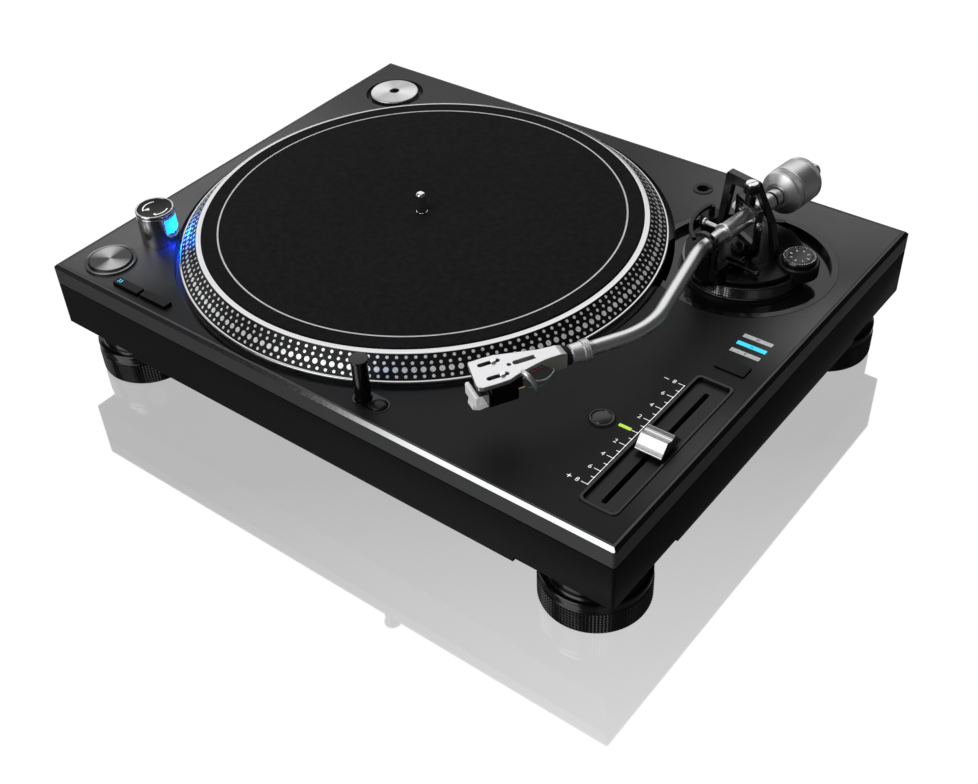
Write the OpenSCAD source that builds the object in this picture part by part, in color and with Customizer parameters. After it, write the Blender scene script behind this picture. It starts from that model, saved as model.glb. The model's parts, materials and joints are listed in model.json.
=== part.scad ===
// Direct drive turntable with an S-shaped tonearm, built as separate pieces.
// Millimetres. Origin under the middle of the body, X to the right, Y to the back, Z up.

/* [Body] */
// Width of the body
body_w = 453; // [452:0.5:455]
// Depth of the body
body_d = 353; // [352.5:0.5:355]
// Radius of the upright corners
corner_r = 2; // [1.5:0.25:3]
// Width of the polished bevel round the deck
bevel = 2.05; // [1.5:0.05:2.1]
// Thickness of the cabinet wall
wall = 8; // [7:0.5:8]

/* [Feet] */
// Radius of the knurled foot ring
foot_r = 33.9; // [33:0.1:34]
// Radius of the neck above the ring
foot_neck_r = 29; // [27:0.5:29]

/* [Platter] */
// Width of the body beside the well, both sides together
side_room = 112.6; // [112.4:0.1:113.4]
// Depth of the body before and behind the well together
edge_room = 12.6; // [12.6:0.1:13]
// Gap between the platter and the wall of its well
platter_gap = 4.2; // [4:0.1:4.6]
// Width of the bright and dotted rim outside the slipmat
rim_w = 17.2; // [17.2:0.1:18]
// Radius of the spindle
spindle_r = 3.58; // [3.55:0.01:3.6]

/* [Tonearm] */
// Radius of the arm tube
tube_r = 4.35; // [4.2:0.05:4.35]
// Radius of the counterweight
weight_r = 15; // [14.5:0.1:15]
// Radius of the knurled height ring
height_ring_r = 40; // [39:0.5:40]
// Radius of the anti-skating dial
skate_r = 11; // [10:0.5:11]

/* [Controls] */
// Radius of the start button
start_r = 15; // [14:0.5:15]
// Radius of the tower
tower_r = 13.3; // [13:0.1:13.5]
// Length of the tempo knob
tempo_len = 20.6; // [19:0.2:20.6]
// Radius of the adaptor
adaptor_r = 19; // [18:0.5:20]

/* [Hidden] */
$fn = 96;

z_skirt = 36.5;
z_base = 39.8;
z_seam = 71.8;
z_wall = 80.6;
z_plate = 84.6;
z_deck = 86.6;
z_well = 79;
z_arm = 121.5;
hx = body_w / 2;
hy = body_d / 2;
foot_x = hx - 34.5;
foot_y = hy - 35.5;
mid_x = hx - 66.5;
mid_y = hy - 66.5;
spread_x = body_w / 453;
spread_y = body_d / 353;
well_r = min(body_w - side_room, body_d - edge_room) / 2;
platter_r = well_r - platter_gap;
mat_r = platter_r - rim_w;
shaft_r = spindle_r + 0.32;
platter_at = [-43 * spread_x, -3 * spread_y];
arm_at = [153.7 * spread_x, 85 * spread_y];
arm_turn = -96.8;
screw_r = 1.9;
screw_x = foot_x - 49;
pad_r = foot_r - 2.9;
start_at = [-196 * spread_x, -150.7 * spread_y];
b33_at = start_at + [34.4, -14];
b45_at = start_at + [60.4, -13.7];
tower_at = [-188 * spread_x, -112 * spread_y];
lamp_at = [40.1 * spread_x, -159.6 * spread_y];
release_at = lamp_at + [12.1, -0.4];
bezel_at = lamp_at + [5.9, 0];
holder_at = [87.2 * spread_x, 147.2 * spread_y];
adaptor_at = [-188 * spread_x, 137 * spread_y];
slot_x = 201 * spread_x;
tray_x0 = slot_x - 12.5;
tray_x1 = slot_x + 12.5;
tray_y0 = -156.5 * spread_y;
tray_y1 = -30 * spread_y;
fader_y = -96.5 * spread_y;
mark_y = -94 * spread_y;
reset_at = [slot_x - 37, -95 * spread_y];
range_at = [slot_x + 1.1, -14 * spread_y];
bars_y = 9.4 * spread_y;
lock_at = arm_at + [-8.4, 47.8];
skate_at = arm_at + [35.8, 4.5];
jack_x = hx - 96.5;
inlet_x = 81.5 - hx;
board_at = [mid_x - 160, 176.5 - hy];
black = [0.06, 0.06, 0.065];
dark = [0.14, 0.14, 0.15];
deck_grey = [0.24, 0.245, 0.255];
band_grey = [0.32, 0.33, 0.34];
silver = [0.78, 0.78, 0.79];
steel = [0.6, 0.6, 0.62];
cyan = [0.35, 0.85, 0.9];

module rrect(w, d, r) {
  union() {
    square([w - 2 * r, d], center = true);
    square([w, d - 2 * r], center = true);
    for (i = [-1, 1])
      for (j = [-1, 1])
        translate([i * (w / 2 - r), j * (d / 2 - r)]) circle(r = r, $fn = 32);
  }
}

module slab(w, d, r, z0, z1) {
  translate([0, 0, z0]) linear_extrude(height = z1 - z0) rrect(w, d, r);
}

module box(x0, x1, y0, y1, z0, z1) {
  translate([x0, y0, z0]) cube([x1 - x0, y1 - y0, z1 - z0]);
}

module cyl(p, r, z0, z1) {
  translate([p[0], p[1], z0]) cylinder(r = r, h = z1 - z0);
}

module ring(p, r0, r1, z0, z1) {
  difference() {
    cyl(p, r1, z0, z1);
    cyl(p, r0, z0 - 1, z1 + 1);
  }
}

module stadium(w, d) {
  union() {
    square([w - d, d], center = true);
    translate([-(w - d) / 2, 0]) circle(r = d / 2);
    translate([(w - d) / 2, 0]) circle(r = d / 2);
  }
}

module arm_frame() {
  translate([arm_at[0], arm_at[1], 0]) rotate([0, 0, arm_turn]) children();
}

module shell_frame() {
  arm_frame() translate([182.6, 7.3, 0]) rotate([0, 0, -22]) children();
}

module rod(r, s0, s1) {
  translate([s0, 0, z_arm]) rotate([0, 90, 0]) cylinder(r = r, h = s1 - s0);
}

module screw_places() {
  for (x = [-screw_x, 0, screw_x]) translate([x, 17 - hy, 0]) children();
  for (x = [-70, 60]) translate([x, hy - 17, 0]) children();
  for (i = [-1, 1]) translate([i * (hx - 17), 5, 0]) children();
}

module foot_places() {
  for (i = [-1, 1])
    for (j = [-1, 1])
      translate([i * foot_x, j * foot_y, 0]) children();
}

module cross2d(g) {
  union() {
    square([2 * mid_x - 2 * g, body_d - 2 * g], center = true);
    square([body_w - 2 * g, 2 * mid_y - 2 * g], center = true);
  }
}

module base_cabinet() {
  color(dark) difference() {
    union() {
      difference() {
        slab(body_w, body_d, corner_r, z_base, z_seam);
        slab(body_w - 2 * wall, body_d - 2 * wall, 1, z_base + 8, z_seam + 1);
        translate([0, 0, z_base - 1]) linear_extrude(height = 10) cross2d(wall + 6);
      }
      translate([0, 0, z_skirt]) linear_extrude(height = z_base - z_skirt) difference() {
        cross2d(0);
        cross2d(wall - 2);
      }
      foot_places() translate([0, 0, z_base + 7]) cylinder(r = 13, h = 13.2);
      screw_places() translate([0, 0, z_base]) cylinder(r = 6, h = z_seam - z_base);
      box(jack_x - 40, jack_x + 40, hy - 20, hy - wall + 1, 42, 70);
      box(inlet_x - 27, inlet_x + 27, hy - 20, hy - wall + 1, 42, 70);
    }
    foot_places() translate([0, 0, -1]) cylinder(r = foot_neck_r + 2, h = z_base + 6);
    foot_places() cylinder(r = 8.05, h = 80);
    screw_places() translate([0, 0, z_base - 2]) cylinder(r = screw_r + 0.2, h = 40);
    box(jack_x - 37, jack_x + 37, hy - 16.5, hy + 1, 45, 67);
    box(inlet_x - 24, inlet_x + 24, hy - 16.5, hy + 1, 45, 67);
    for (x = [jack_x - 18, jack_x - 2])
      translate([x, hy, 56]) rotate([90, 0, 0]) cylinder(r = 5.05, h = 30);
    translate([jack_x + 20, hy, 56]) rotate([90, 0, 0]) cylinder(r = 2.55, h = 30);
    box(inlet_x - 11, inlet_x + 11, hy - 30, hy - 10, 49, 63);
  }
}

module seat(p, w, d, r) {
  translate([p[0], p[1], 82.4]) linear_extrude(height = 6) rrect(w, d, r);
}

module plinth_casting() {
  color(band_grey) difference() {
    intersection() {
      union() {
        slab(body_w, body_d, corner_r, z_wall, z_deck);
        difference() {
          slab(body_w, body_d, corner_r, z_seam + 1, z_wall);
          slab(body_w - 12, body_d - 12, 1, z_seam, z_wall + 1);
        }
        difference() {
          slab(body_w - 1.2, body_d - 1.2, corner_r, z_seam, z_seam + 1);
          slab(body_w - 12, body_d - 12, 1, z_seam - 1, z_seam + 2);
        }
        cyl(platter_at, well_r + 3.8, 76, z_wall + 1);
        screw_places() translate([0, 0, z_seam]) cylinder(r = 6, h = z_wall - z_seam + 1);
        cyl(start_at, 6.5, 74, z_wall + 1);
        cyl(b33_at, 3.6, 74, z_wall + 1);
        cyl(b45_at, 3.6, 74, z_wall + 1);
        cyl(reset_at, 4.5, 74, z_wall + 1);
        cyl(range_at, 4.5, 74, z_wall + 1);
      }
      translate([0, hy + 1, 0]) rotate([90, 0, 0]) linear_extrude(height = body_d + 2)
        polygon([
          [-hx, z_seam], [hx, z_seam], [hx, z_deck - 2.2],
          [hx - bevel, z_deck], [-hx + bevel, z_deck], [-hx, z_deck - 2.2]
        ]);
      translate([-hx - 1, 0, 0]) rotate([90, 0, 90]) linear_extrude(height = body_w + 2)
        polygon([
          [-hy, z_seam], [hy, z_seam], [hy, z_deck - 2.2],
          [hy - bevel, z_deck], [-hy + bevel, z_deck], [-hy, z_deck - 2.2]
        ]);
    }
    slab(body_w - 7.3, body_d - 7.3, 1, z_plate, z_deck + 1);
    cyl(platter_at, well_r, z_well, z_deck + 1);
    cyl(platter_at, 11.4, 70, z_deck + 1);
    screw_places() translate([0, 0, z_seam - 1]) cylinder(r = screw_r + 0.05, h = 6.7);
    cyl(arm_at, 57.7, 70, z_deck);
    cyl(tower_at, 11.8, 70, z_deck);
    seat(start_at, 2 * start_r + 0.8, 2 * start_r + 0.8, start_r + 0.3);
    cyl(start_at, 4.05, 70, z_deck);
    seat(b33_at, 24.6, 7.2, 1);
    cyl(b33_at, 2.05, 70, z_deck);
    seat(b45_at, 24.6, 7.2, 1);
    cyl(b45_at, 2.05, 70, z_deck);
    seat(reset_at, 15.6, 15.6, 7.7);
    cyl(reset_at, 2.55, 70, z_deck);
    seat(range_at, 20.1, 10.7, 1);
    cyl(range_at, 2.55, 70, z_deck);
    box(slot_x - 11, slot_x + 11, tray_y0 + 1, tray_y1 - 1.5, 70, z_deck);
    cyl(lamp_at, 6.5, 70, z_deck);
    cyl(release_at, 6, 70, z_deck);
    cyl(holder_at, 6.7, 70, z_deck);
    cyl(adaptor_at, 22.7, 82.4, z_deck);
  }
}

module panel_bridge(g) {
  translate(arm_at) polygon([
    [g - 59.7, 12.8 - g * 0.4], [g - 54, 28.4], [-23.7, 28.4], [-3.7, -25],
    [-23.4, g - 55.8], [g - 32.4, g - 51.4], [-48.7, -25]
  ]);
}

module deck_plate() {
  color(deck_grey) union() {
    difference() {
      slab(body_w - 7.9, body_d - 7.9, 0.8, z_plate, z_deck);
      cyl(platter_at, well_r, z_plate - 1, z_deck + 1);
      cyl(arm_at, 60.2, z_plate - 1, z_deck + 1);
      translate([0, 0, z_plate - 1]) linear_extrude(height = 5) panel_bridge(0);
      cyl(tower_at, 11.8, z_plate - 1, z_deck + 1);
      cyl(start_at, start_r + 0.3, z_plate - 1, z_deck + 1);
      seat(b33_at, 24.6, 7.2, 0.8);
      seat(b45_at, 24.6, 7.2, 0.8);
      cyl(reset_at, 7.8, z_plate - 1, z_deck + 1);
      seat(range_at, 20.1, 10.7, 0.8);
      tray_slab(-0.15, 5.15, z_plate - 1, z_deck + 1);
      box(slot_x - 26.5, slot_x - 18.2, mark_y - 0.9, mark_y + 1.5, z_plate - 1, z_deck + 1);
      for (y = [bars_y - 8, bars_y, bars_y + 8])
        box(slot_x - 9.3, slot_x + 10.3, y - 1.6, y + 1.6, z_plate - 1, z_deck + 1);
      translate([bezel_at[0], bezel_at[1], z_plate - 1]) linear_extrude(height = 5)
        stadium(26, 14.1);
      cyl(holder_at, 6.7, z_plate - 1, z_deck + 1);
      cyl(adaptor_at, 22.7, z_plate - 1, z_deck + 1);
    }
    ring(start_at, start_r + 0.3, start_r + 2.6, z_deck - 0.5, 88);
    ring(reset_at, 7.8, 8.4, z_deck - 0.5, 87);
  }
}

module tonearm_panel() {
  color(black) union() {
    difference() {
      union() {
        ring(arm_at, 56, 60, z_plate, z_deck + 0.2);
        ring(arm_at, 56, 57.4, 79.5, z_plate + 1);
        ring(arm_at, 30.5, 57.4, 79.5, 82);
        difference() {
          translate([0, 0, z_plate]) linear_extrude(height = z_deck - z_plate) panel_bridge(0.15);
          cyl(arm_at, 58, z_plate - 1, z_deck + 1);
        }
      }
      cyl(platter_at, well_r, 70, z_deck + 1);
      cyl(arm_at, 30.3, 70, 83);
    }
    cyl(lock_at, 2.5, 81, 88.8);
  }
}

module bottom_cover() {
  color(black) difference() {
    union() {
      translate([0, 0, z_skirt + 0.4]) linear_extrude(height = z_base - z_skirt - 0.4)
        cross2d(wall - 1.8);
      for (x = [-26, 138])
        for (y = [-134, -26])
          cyl(board_at + [x, y], 4, z_base - 1, 50);
    }
    screw_places() translate([0, 0, 30]) cylinder(r = screw_r + 0.2, h = 20);
    screw_places() translate([0, 0, 36]) cylinder(r1 = 4.3, r2 = 2.1, h = 2.8);
  }
}

module cover_screws() {
  color(steel) screw_places() difference() {
    union() {
      translate([0, 0, 36.95]) cylinder(r1 = 3.5, r2 = screw_r, h = 1.8);
      translate([0, 0, 38]) cylinder(r = screw_r, h = 39);
    }
    translate([-2.5, -0.4, 36]) cube([5, 0.8, 1.6]);
    translate([-0.4, -2.5, 36]) cube([0.8, 5, 1.6]);
  }
}

module bearing_housing() {
  color(steel) difference() {
    union() {
      cyl(platter_at, 11, 55, 92);
      cyl(platter_at, 24, z_well, 81.5);
    }
    cyl(platter_at, shaft_r + 0.05, 58, 93);
  }
}

module stator_coils() {
  color([0.55, 0.32, 0.15]) union() {
    ring(platter_at, 26, 66, z_well, 80.6);
    for (i = [0 : 11])
      translate([platter_at[0], platter_at[1], 0]) rotate([0, 0, i * 30])
        ring([46, 0], 4, 10.5, 80.5, 86.5);
  }
}

module main_board() {
  color([0.1, 0.3, 0.18]) translate([board_at[0], board_at[1], 0]) union() {
    box(-30, 150, -140, -20, 50, 51.6);
    box(-20, 34, -132, -84, 51.5, 70);
    for (x = [44, 58, 72]) cyl([x, -124], 6, 51.5, 68);
    box(86, 140, -130, -127, 51.5, 70);
    for (x = [88, 98, 108, 118, 128, 138]) box(x, x + 2, -128, -112, 51.5, 70);
    box(60, 84, -80, -60, 51.5, 54);
    box(100, 122, -86, -70, 51.5, 54.5);
    for (x = [0, 16, 32]) box(x, x + 10, -44, -38, 51.5, 58);
    for (y = [-100, -60]) box(140, 147, y, y + 26, 51.5, 60);
  }
}

module strobe_tower() {
  color(silver) difference() {
    union() {
      cyl(tower_at, tower_r, z_deck, 108.8);
      cyl(tower_at, 11.5, 72, z_deck + 1);
    }
    cyl(tower_at, 10.8, 78, 107);
    cyl(tower_at, 3.05, 95, 110);
    translate([tower_at[0], tower_at[1], 95.6]) rotate([0, 0, -17])
      rotate_extrude(angle = 88) translate([9, 0]) square([6, 11.2]);
  }
}

module strobe_window() {
  color(cyan) translate([tower_at[0], tower_at[1], 95.6]) rotate([0, 0, -17])
    rotate_extrude(angle = 88) translate([10.8, 0]) square([tower_r - 11, 11.2]);
}

module power_knob() {
  color(black) union() {
    translate([tower_at[0], tower_at[1], 0]) rotate_extrude() polygon([
      [0, 109.1], [tower_r, 109.1], [tower_r, 110.9], [tower_r - 0.6, 111.5], [0, 111.5]
    ]);
    cyl(tower_at, 3, 96, 110);
  }
}

module tray_slab(g, r, z0, z1) {
  translate([(tray_x0 + tray_x1) / 2, (tray_y0 + tray_y1) / 2, z0])
    linear_extrude(height = z1 - z0)
      rrect(tray_x1 - tray_x0 - 2 * g, tray_y1 - tray_y0 - 2 * g, r);
}

module tempo_tray() {
  color(black) difference() {
    union() {
      tray_slab(0, 5, z_plate, 87.4);
      box(tray_x0 + 1.7, tray_x1 - 1.7, tray_y0 + 1.2, tray_y1 - 1.7, 82.6, z_plate + 0.5);
    }
    tray_slab(2, 3.2, 84.6, 90);
    tray_slab(2.8, 2.4, 84.1, 90);
    box(slot_x - 1.2, slot_x + 1.2, tray_y0 + 7, tray_y1 - 10.5, 80, 90);
  }
}

module fader_body() {
  color(steel) difference() {
    box(slot_x - 6, slot_x + 6, tray_y0 + 1.5, tray_y1 - 4, 62, 82.6);
    box(slot_x - 4.5, slot_x + 4.5, tray_y0 + 5.5, tray_y1 - 8, 64, 80.6);
    box(slot_x - 1.2, slot_x + 1.2, tray_y0 + 7, tray_y1 - 10.5, 80, 90);
  }
}

module tempo_knob() {
  color(silver) translate([slot_x + 0.7, fader_y, 0]) union() {
    rotate([90, 0, 90]) translate([0, 0, -8.8]) linear_extrude(height = 17.6) polygon([
      [-tempo_len / 2, 87.1], [tempo_len / 2, 87.1], [tempo_len / 2, 88.4],
      [tempo_len / 2 - 2, 90.8], [tempo_len / 2 - 4.7, 94], [tempo_len / 2 - 6.1, 95.5],
      [tempo_len / 2 - 7, 95.9], [1.6, 94.9], [-1.6, 94.9], [-tempo_len / 2 + 7, 95.9],
      [-tempo_len / 2 + 6.1, 95.5], [-tempo_len / 2 + 4.7, 94], [-tempo_len / 2 + 2, 90.8],
      [-tempo_len / 2, 88.4]
    ]);
    box(-1.5, 0.1, -3, 3, 68, 88);
    box(-4, 2.6, -4, 4, 66, 72);
  }
}

module indicator_lamps() {
  color(cyan) union() {
    box(slot_x - 26.4, slot_x - 18.3, mark_y - 0.8, mark_y + 1.4, z_plate, z_deck + 0.1);
    for (y = [bars_y - 8, bars_y, bars_y + 8])
      box(slot_x - 9.2, slot_x + 10.2, y - 1.5, y + 1.5, z_plate, z_deck + 0.1);
  }
}

module lamp_bezel() {
  color(silver) difference() {
    union() {
      translate([bezel_at[0], bezel_at[1], z_plate]) linear_extrude(height = 2.5)
        stadium(25.7, 13.8);
      cyl(lamp_at, 6.3, 58, z_plate + 1);
    }
    cyl(lamp_at, 5.25, 50, 90);
    cyl(release_at, 5.5, 80, 90);
  }
}

module popup_lamp() {
  color(silver) difference() {
    union() {
      cyl(lamp_at, 5.2, 75, 115.2);
      cyl(lamp_at, 6.5, 114.9, 116.5);
    }
    translate([lamp_at[0] + 2, lamp_at[1] + 1.2, 108.5]) rotate([0, 0, 35]) cube([4, 4, 5]);
  }
}

module lamp_button() {
  color(silver) translate([release_at[0], release_at[1], 0]) rotate_extrude() polygon([
    [0, 74], [2, 74], [2, 79], [5.2, 79], [5.2, 87.6], [4.6, 88.1], [3.1, 88.4], [0, 88.5]
  ]);
}

module headshell_holder() {
  color(silver) difference() {
    union() {
      cyl(holder_at, 7.2, z_deck, 87.2);
      cyl(holder_at, 6.6, 68, z_deck + 0.3);
    }
    cyl(holder_at, 4.05, 71, 90);
    translate([holder_at[0] + 3, holder_at[1] + 1.6, 80]) rotate([0, 0, 35]) cube([2.6, 1.6, 9]);
  }
}

module phono_jacks() {
  color([0.8, 0.68, 0.35]) for (x = [jack_x - 18, jack_x - 2])
    translate([x, 0, 56]) rotate([-90, 0, 0]) difference() {
      union() {
        translate([0, 0, hy - 28]) cylinder(r = 5, h = 12);
        translate([0, 0, hy - 16.5]) cylinder(r = 6.5, h = 2);
        translate([0, 0, hy - 15]) cylinder(r = 4.15, h = 11);
      }
      translate([0, 0, hy - 14]) cylinder(r = 1.6, h = 20);
    }
}

module ground_post() {
  color(silver) translate([jack_x + 20, 0, 56]) rotate([-90, 0, 0]) union() {
    translate([0, 0, hy - 26]) cylinder(r = 2.5, h = 12);
    translate([0, 0, hy - 16.5]) cylinder(r = 4.5, h = 1.5);
    translate([0, 0, hy - 15]) cylinder(r = 2, h = 4.5);
    translate([0, 0, hy - 11]) cylinder(r = 4.5, h = 6);
  }
}

module power_inlet() {
  color(black) difference() {
    union() {
      box(inlet_x - 10.8, inlet_x + 10.8, hy - 28, hy - 16, 49.2, 62.8);
      box(inlet_x - 17, inlet_x + 17, hy - 16.5, hy - 14, 46, 66);
    }
    box(inlet_x - 9.5, inlet_x + 9.5, hy - 26, hy - 10, 50.5, 61.5);
  }
  color(steel) for (x = [inlet_x - 3, inlet_x + 3])
    box(x - 0.8, x + 0.8, hy - 27, hy - 18, 54, 58);
}

module foot_core(i, j) {
  color(black) translate([i * foot_x, j * foot_y, 0]) rotate_extrude() polygon([
    [0, 0], [pad_r - 0.5, 0], [pad_r, 0.5], [pad_r, 3.2], [12, 3.2], [12, 42.2], [8, 42.2],
    [8, 58], [0, 58]
  ]);
}

module foot_ring(i, j) {
  color(black) translate([i * foot_x, j * foot_y, 0]) rotate_extrude() polygon([
    [12.05, 3.5], [pad_r + 0.4, 3.5], [pad_r + 0.4, 1.2], [foot_r - 0.6, 1.2], [foot_r, 1.8],
    [foot_r, 20.6],
    [foot_r - 0.6, 21.4], [foot_r - 0.6, 24.5], [foot_neck_r, 24.5], [foot_neck_r, 42],
    [12.05, 42]
  ]);
}

module platter() {
  color(silver) translate([platter_at[0], platter_at[1], 0]) rotate_extrude($fn = 180) polygon([
    [shaft_r + 0.05, 95.5], [platter_r - 10, 95.5], [platter_r - 8, 93.5],
    [platter_r - 8, 81.5], [platter_r - 0.8, 81.5], [platter_r, 82.3], [platter_r, 89.6],
    [platter_r - 0.4, 90], [platter_r - 1.2, 90], [mat_r + 4, 100.9], [mat_r + 3.6, 101.4],
    [mat_r + 1, 101.6], [mat_r + 0.4, 101.2], [mat_r + 0.4, 99.9], [shaft_r + 0.05, 99.9]
  ]);
}

module rotor_magnet() {
  color(dark) ring(platter_at, 28, 68, 88, 95.5);
}

module spindle() {
  color(steel) translate([platter_at[0], platter_at[1], 0]) rotate_extrude() polygon([
    [0, 58.1], [shaft_r, 58.1], [shaft_r, 92.5], [16, 92.5], [16, 95.5], [shaft_r, 95.5],
    [shaft_r, 102.5], [spindle_r, 102.5], [spindle_r, 114.4], [3.2, 115.6], [2.3, 116.4],
    [1.2, 116.7], [0, 116.7]
  ]);
}

module slipmat() {
  color(black) ring(platter_at, shaft_r + 0.35, mat_r, 99.95, 102.35);
}

module arm_base() {
  color(black) difference() {
    union() {
      cyl(arm_at, 30, 60, 91);
      cyl(arm_at, 41.5, 82.05, 83.3);
    }
    cyl(arm_at, 24.05, 50, 95);
  }
}

module height_ring() {
  color(black) difference() {
    ring(arm_at, 30.05, height_ring_r, 83.6, 92.8);
    translate([arm_at[0], arm_at[1], 0]) for (i = [0 : 35]) rotate([0, 0, i * 10])
      translate([height_ring_r + 0.5, 0, 84.4]) cylinder(r = 1, h = 7.6, $fn = 24);
  }
}

module height_lock() {
  color(black) difference() {
    translate([lock_at[0], lock_at[1], 0]) rotate([0, 0, 25]) union() {
      cyl([0, 0], 5.5, 82.4, 90);
      box(0, 12, -2.5, 2.5, 87.2, 90);
    }
    cyl(lock_at, 2.55, 80, 89.1);
  }
}

module arm_platform() {
  color(black) difference() {
    union() {
      ring(arm_at, 20, 24, 64, 94);
      cyl(arm_at, 38, 93.2, 97);
      difference() {
        cyl(skate_at, 13, 90, 99);
        cyl(arm_at, 40.8, 80, 93.2);
      }
      arm_frame() translate([38.5, -2, 93.2]) cylinder(r = 9, h = 3.8);
      arm_frame() difference() {
        box(34, 43, -8, 3, 96, 116.8);
        translate([38.5, -2, 112]) cube([20, 7, 4], center = true);
      }
      arm_frame() box(34, 43, 3, 11, 96, 108);
      arm_frame() cyl([-9.2, -34], 7.5, 93.2, 105);
      arm_frame() cyl([0, 0], 9, 96, 99.5);
      arm_frame() box(18, 25, -1, 13, 96, 101.5);
    }
    cyl(arm_at, 2.55, 95.5, 110);
    arm_frame() cyl([-9.2, -34], 2.05, 95, 110);
    cyl(skate_at, 3.05, 93.8, 110);
    arm_frame() translate([30, 8, 105]) rotate([0, 90, 0]) cylinder(r = 1.55, h = 20);
    arm_frame() box(20, 23, 1, 15, 97.5, 103);
    arm_frame() translate([10, 8, 99.5]) rotate([0, 90, 0]) cylinder(r = 0.85, h = 20);
  }
}

module gimbal_bridge() {
  color(black) arm_frame() difference() {
    union() {
      rotate([90, 0, -90]) linear_extrude(height = 5.5) mirror([1, 0]) polygon([
        [-24.7, 97], [-19.3, 146.2], [3.5, 144.6], [7, 138.2], [11.2, 131], [17.2, 121.5],
        [21.8, 104], [21.8, 97], [18.2, 97], [17.4, 104], [14.8, 119.5], [13.3, 124.2],
        [6.9, 132.3], [3.4, 139], [-14.7, 139], [-20.3, 97]
      ]);
      cyl([0, 0], 5, 139.1, 144.4);
      cyl([0, 0], 4, 144.2, 145.6);
    }
    cyl([0, 0], 1.55, 130, 143.6);
    box(-5, 5, -0.5, 0.5, 144.8, 150);
  }
}

module gimbal_frame() {
  color(dark) arm_frame() difference() {
    rotate([0, 0, 68]) union() {
      difference() {
        box(-13, 13, -2, 2, 102, 131.5);
        box(-9.6, 9.6, -5, 5, 106, 128.7);
      }
      translate([-15.3, 0, z_arm]) rotate([0, 90, 0]) cylinder(r = 2.4, h = 30.6);
      cyl([0, 0], 2.5, 97, 103);
      cyl([0, 0], 3.4, 131, 136);
      cyl([0, 0], 1.5, 135, 143.2);
    }
    rotate([0, 0, 68]) box(-9.6, 9.6, -5, 5, 106, 128.7);
    rotate([0, 0, 68]) translate([-13.6, 0, z_arm]) rotate([0, 90, 0])
      cylinder(r = 1.55, h = 27.2);
  }
}

module arm_hub() {
  color(silver) arm_frame() difference() {
    union() {
      rod(5.7, -31, 26.7);
      rod(6.3, 24.6, 26.7);
      rod(4.8, -73, -30);
      rotate([0, 0, 68]) translate([-13.4, 0, z_arm]) rotate([0, 90, 0])
        cylinder(r = 1.5, h = 26.8);
      translate([23, -4, z_arm]) rotate([90, 0, 0]) cylinder(r = 1.5, h = 13.5);
      translate([23, -15.5, z_arm]) rotate([90, 0, 0]) cylinder(r = 2.6, h = 2);
    }
    rod(4.4, 16, 30);
  }
}

module leg(len, rt, a, b) {
  translate([-a, 0, 0]) rotate([0, 90, 0]) cylinder(r = rt, h = len + a + b);
}

module bend_out(r, turn, rt) {
  translate([0, r, 0]) rotate([0, 0, -90]) rotate_extrude(angle = turn)
    translate([r, 0]) circle(r = rt + 0.05);
}

module bend_in(r, turn, rt) {
  translate([0, -r, 0]) rotate([0, 0, 90 - turn]) rotate_extrude(angle = turn)
    translate([r, 0]) circle(r = rt + 0.05);
}

module s_tube(rt) {
  translate([17, 0, z_arm]) {
    leg(25.23, rt, 0, 0.4);
    translate([25.23, 0, 0]) {
      bend_out(50, 19, rt);
      translate([50 * sin(19), 50 * (1 - cos(19)), 0]) rotate([0, 0, 19]) {
        leg(57.87, rt, 0.4, 0.4);
        translate([57.87, 0, 0]) {
          bend_in(52, 41, rt);
          translate([52 * sin(41), -52 * (1 - cos(41)), 0]) rotate([0, 0, -41])
            leg(18.4, rt, 0.4, 0);
        }
      }
    }
  }
}

module arm_tube() {
  color(silver) difference() {
    union() {
      arm_frame() s_tube(tube_r);
      shell_frame() translate([-18, 0, z_arm]) rotate([0, 90, 0])
        cylinder(r1 = tube_r + 0.1, r2 = 5, h = 3);
      shell_frame() translate([-15, 0, z_arm]) rotate([0, 90, 0]) cylinder(r = 5, h = 11.8);
    }
    shell_frame() translate([-14.5, 0, z_arm]) rotate([0, 90, 0]) cylinder(r = 4.05, h = 20);
    shell_frame() translate([-20, 0, z_arm]) rotate([0, 90, 0]) cylinder(r = 3.4, h = 20);
    arm_frame() translate([16, 0, z_arm]) leg(24, 3.4, 0, 0);
  }
}

module weight_insert() {
  color(steel) arm_frame() difference() {
    rod(11, -59, -41);
    rod(4.85, -80, -30);
  }
}

module counterweight() {
  color(silver) arm_frame() translate([0, 0, z_arm]) rotate([0, -90, 0]) rotate_extrude()
    polygon([
      [11.05, 36.5], [12.4, 36.5], [12.4, 40], [weight_r - 0.4, 40], [weight_r, 40.4],
      [weight_r, 58.9], [weight_r - 0.6, 59.5], [11.05, 59.5]
    ]);
}

module weight_dial() {
  color(silver) arm_frame() translate([0, 0, z_arm]) rotate([0, -90, 0]) rotate_extrude()
    polygon([
      [6.1, 30.2], [8.2, 30.2], [14, 33.8], [14.8, 34.4], [14.8, 39.6], [12.45, 39.6],
      [12.45, 35.5], [6.1, 32.6]
    ]);
}

module locking_collar() {
  color(silver) shell_frame() translate([0, 0, z_arm]) rotate([0, -90, 0]) rotate_extrude()
    polygon([
      [5.05, 3.5], [5.9, 3.5], [5.9, 10.6], [6.9, 10.9], [6.9, 14.6], [6.6, 14.9], [5.05, 14.9]
    ]);
}

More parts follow.
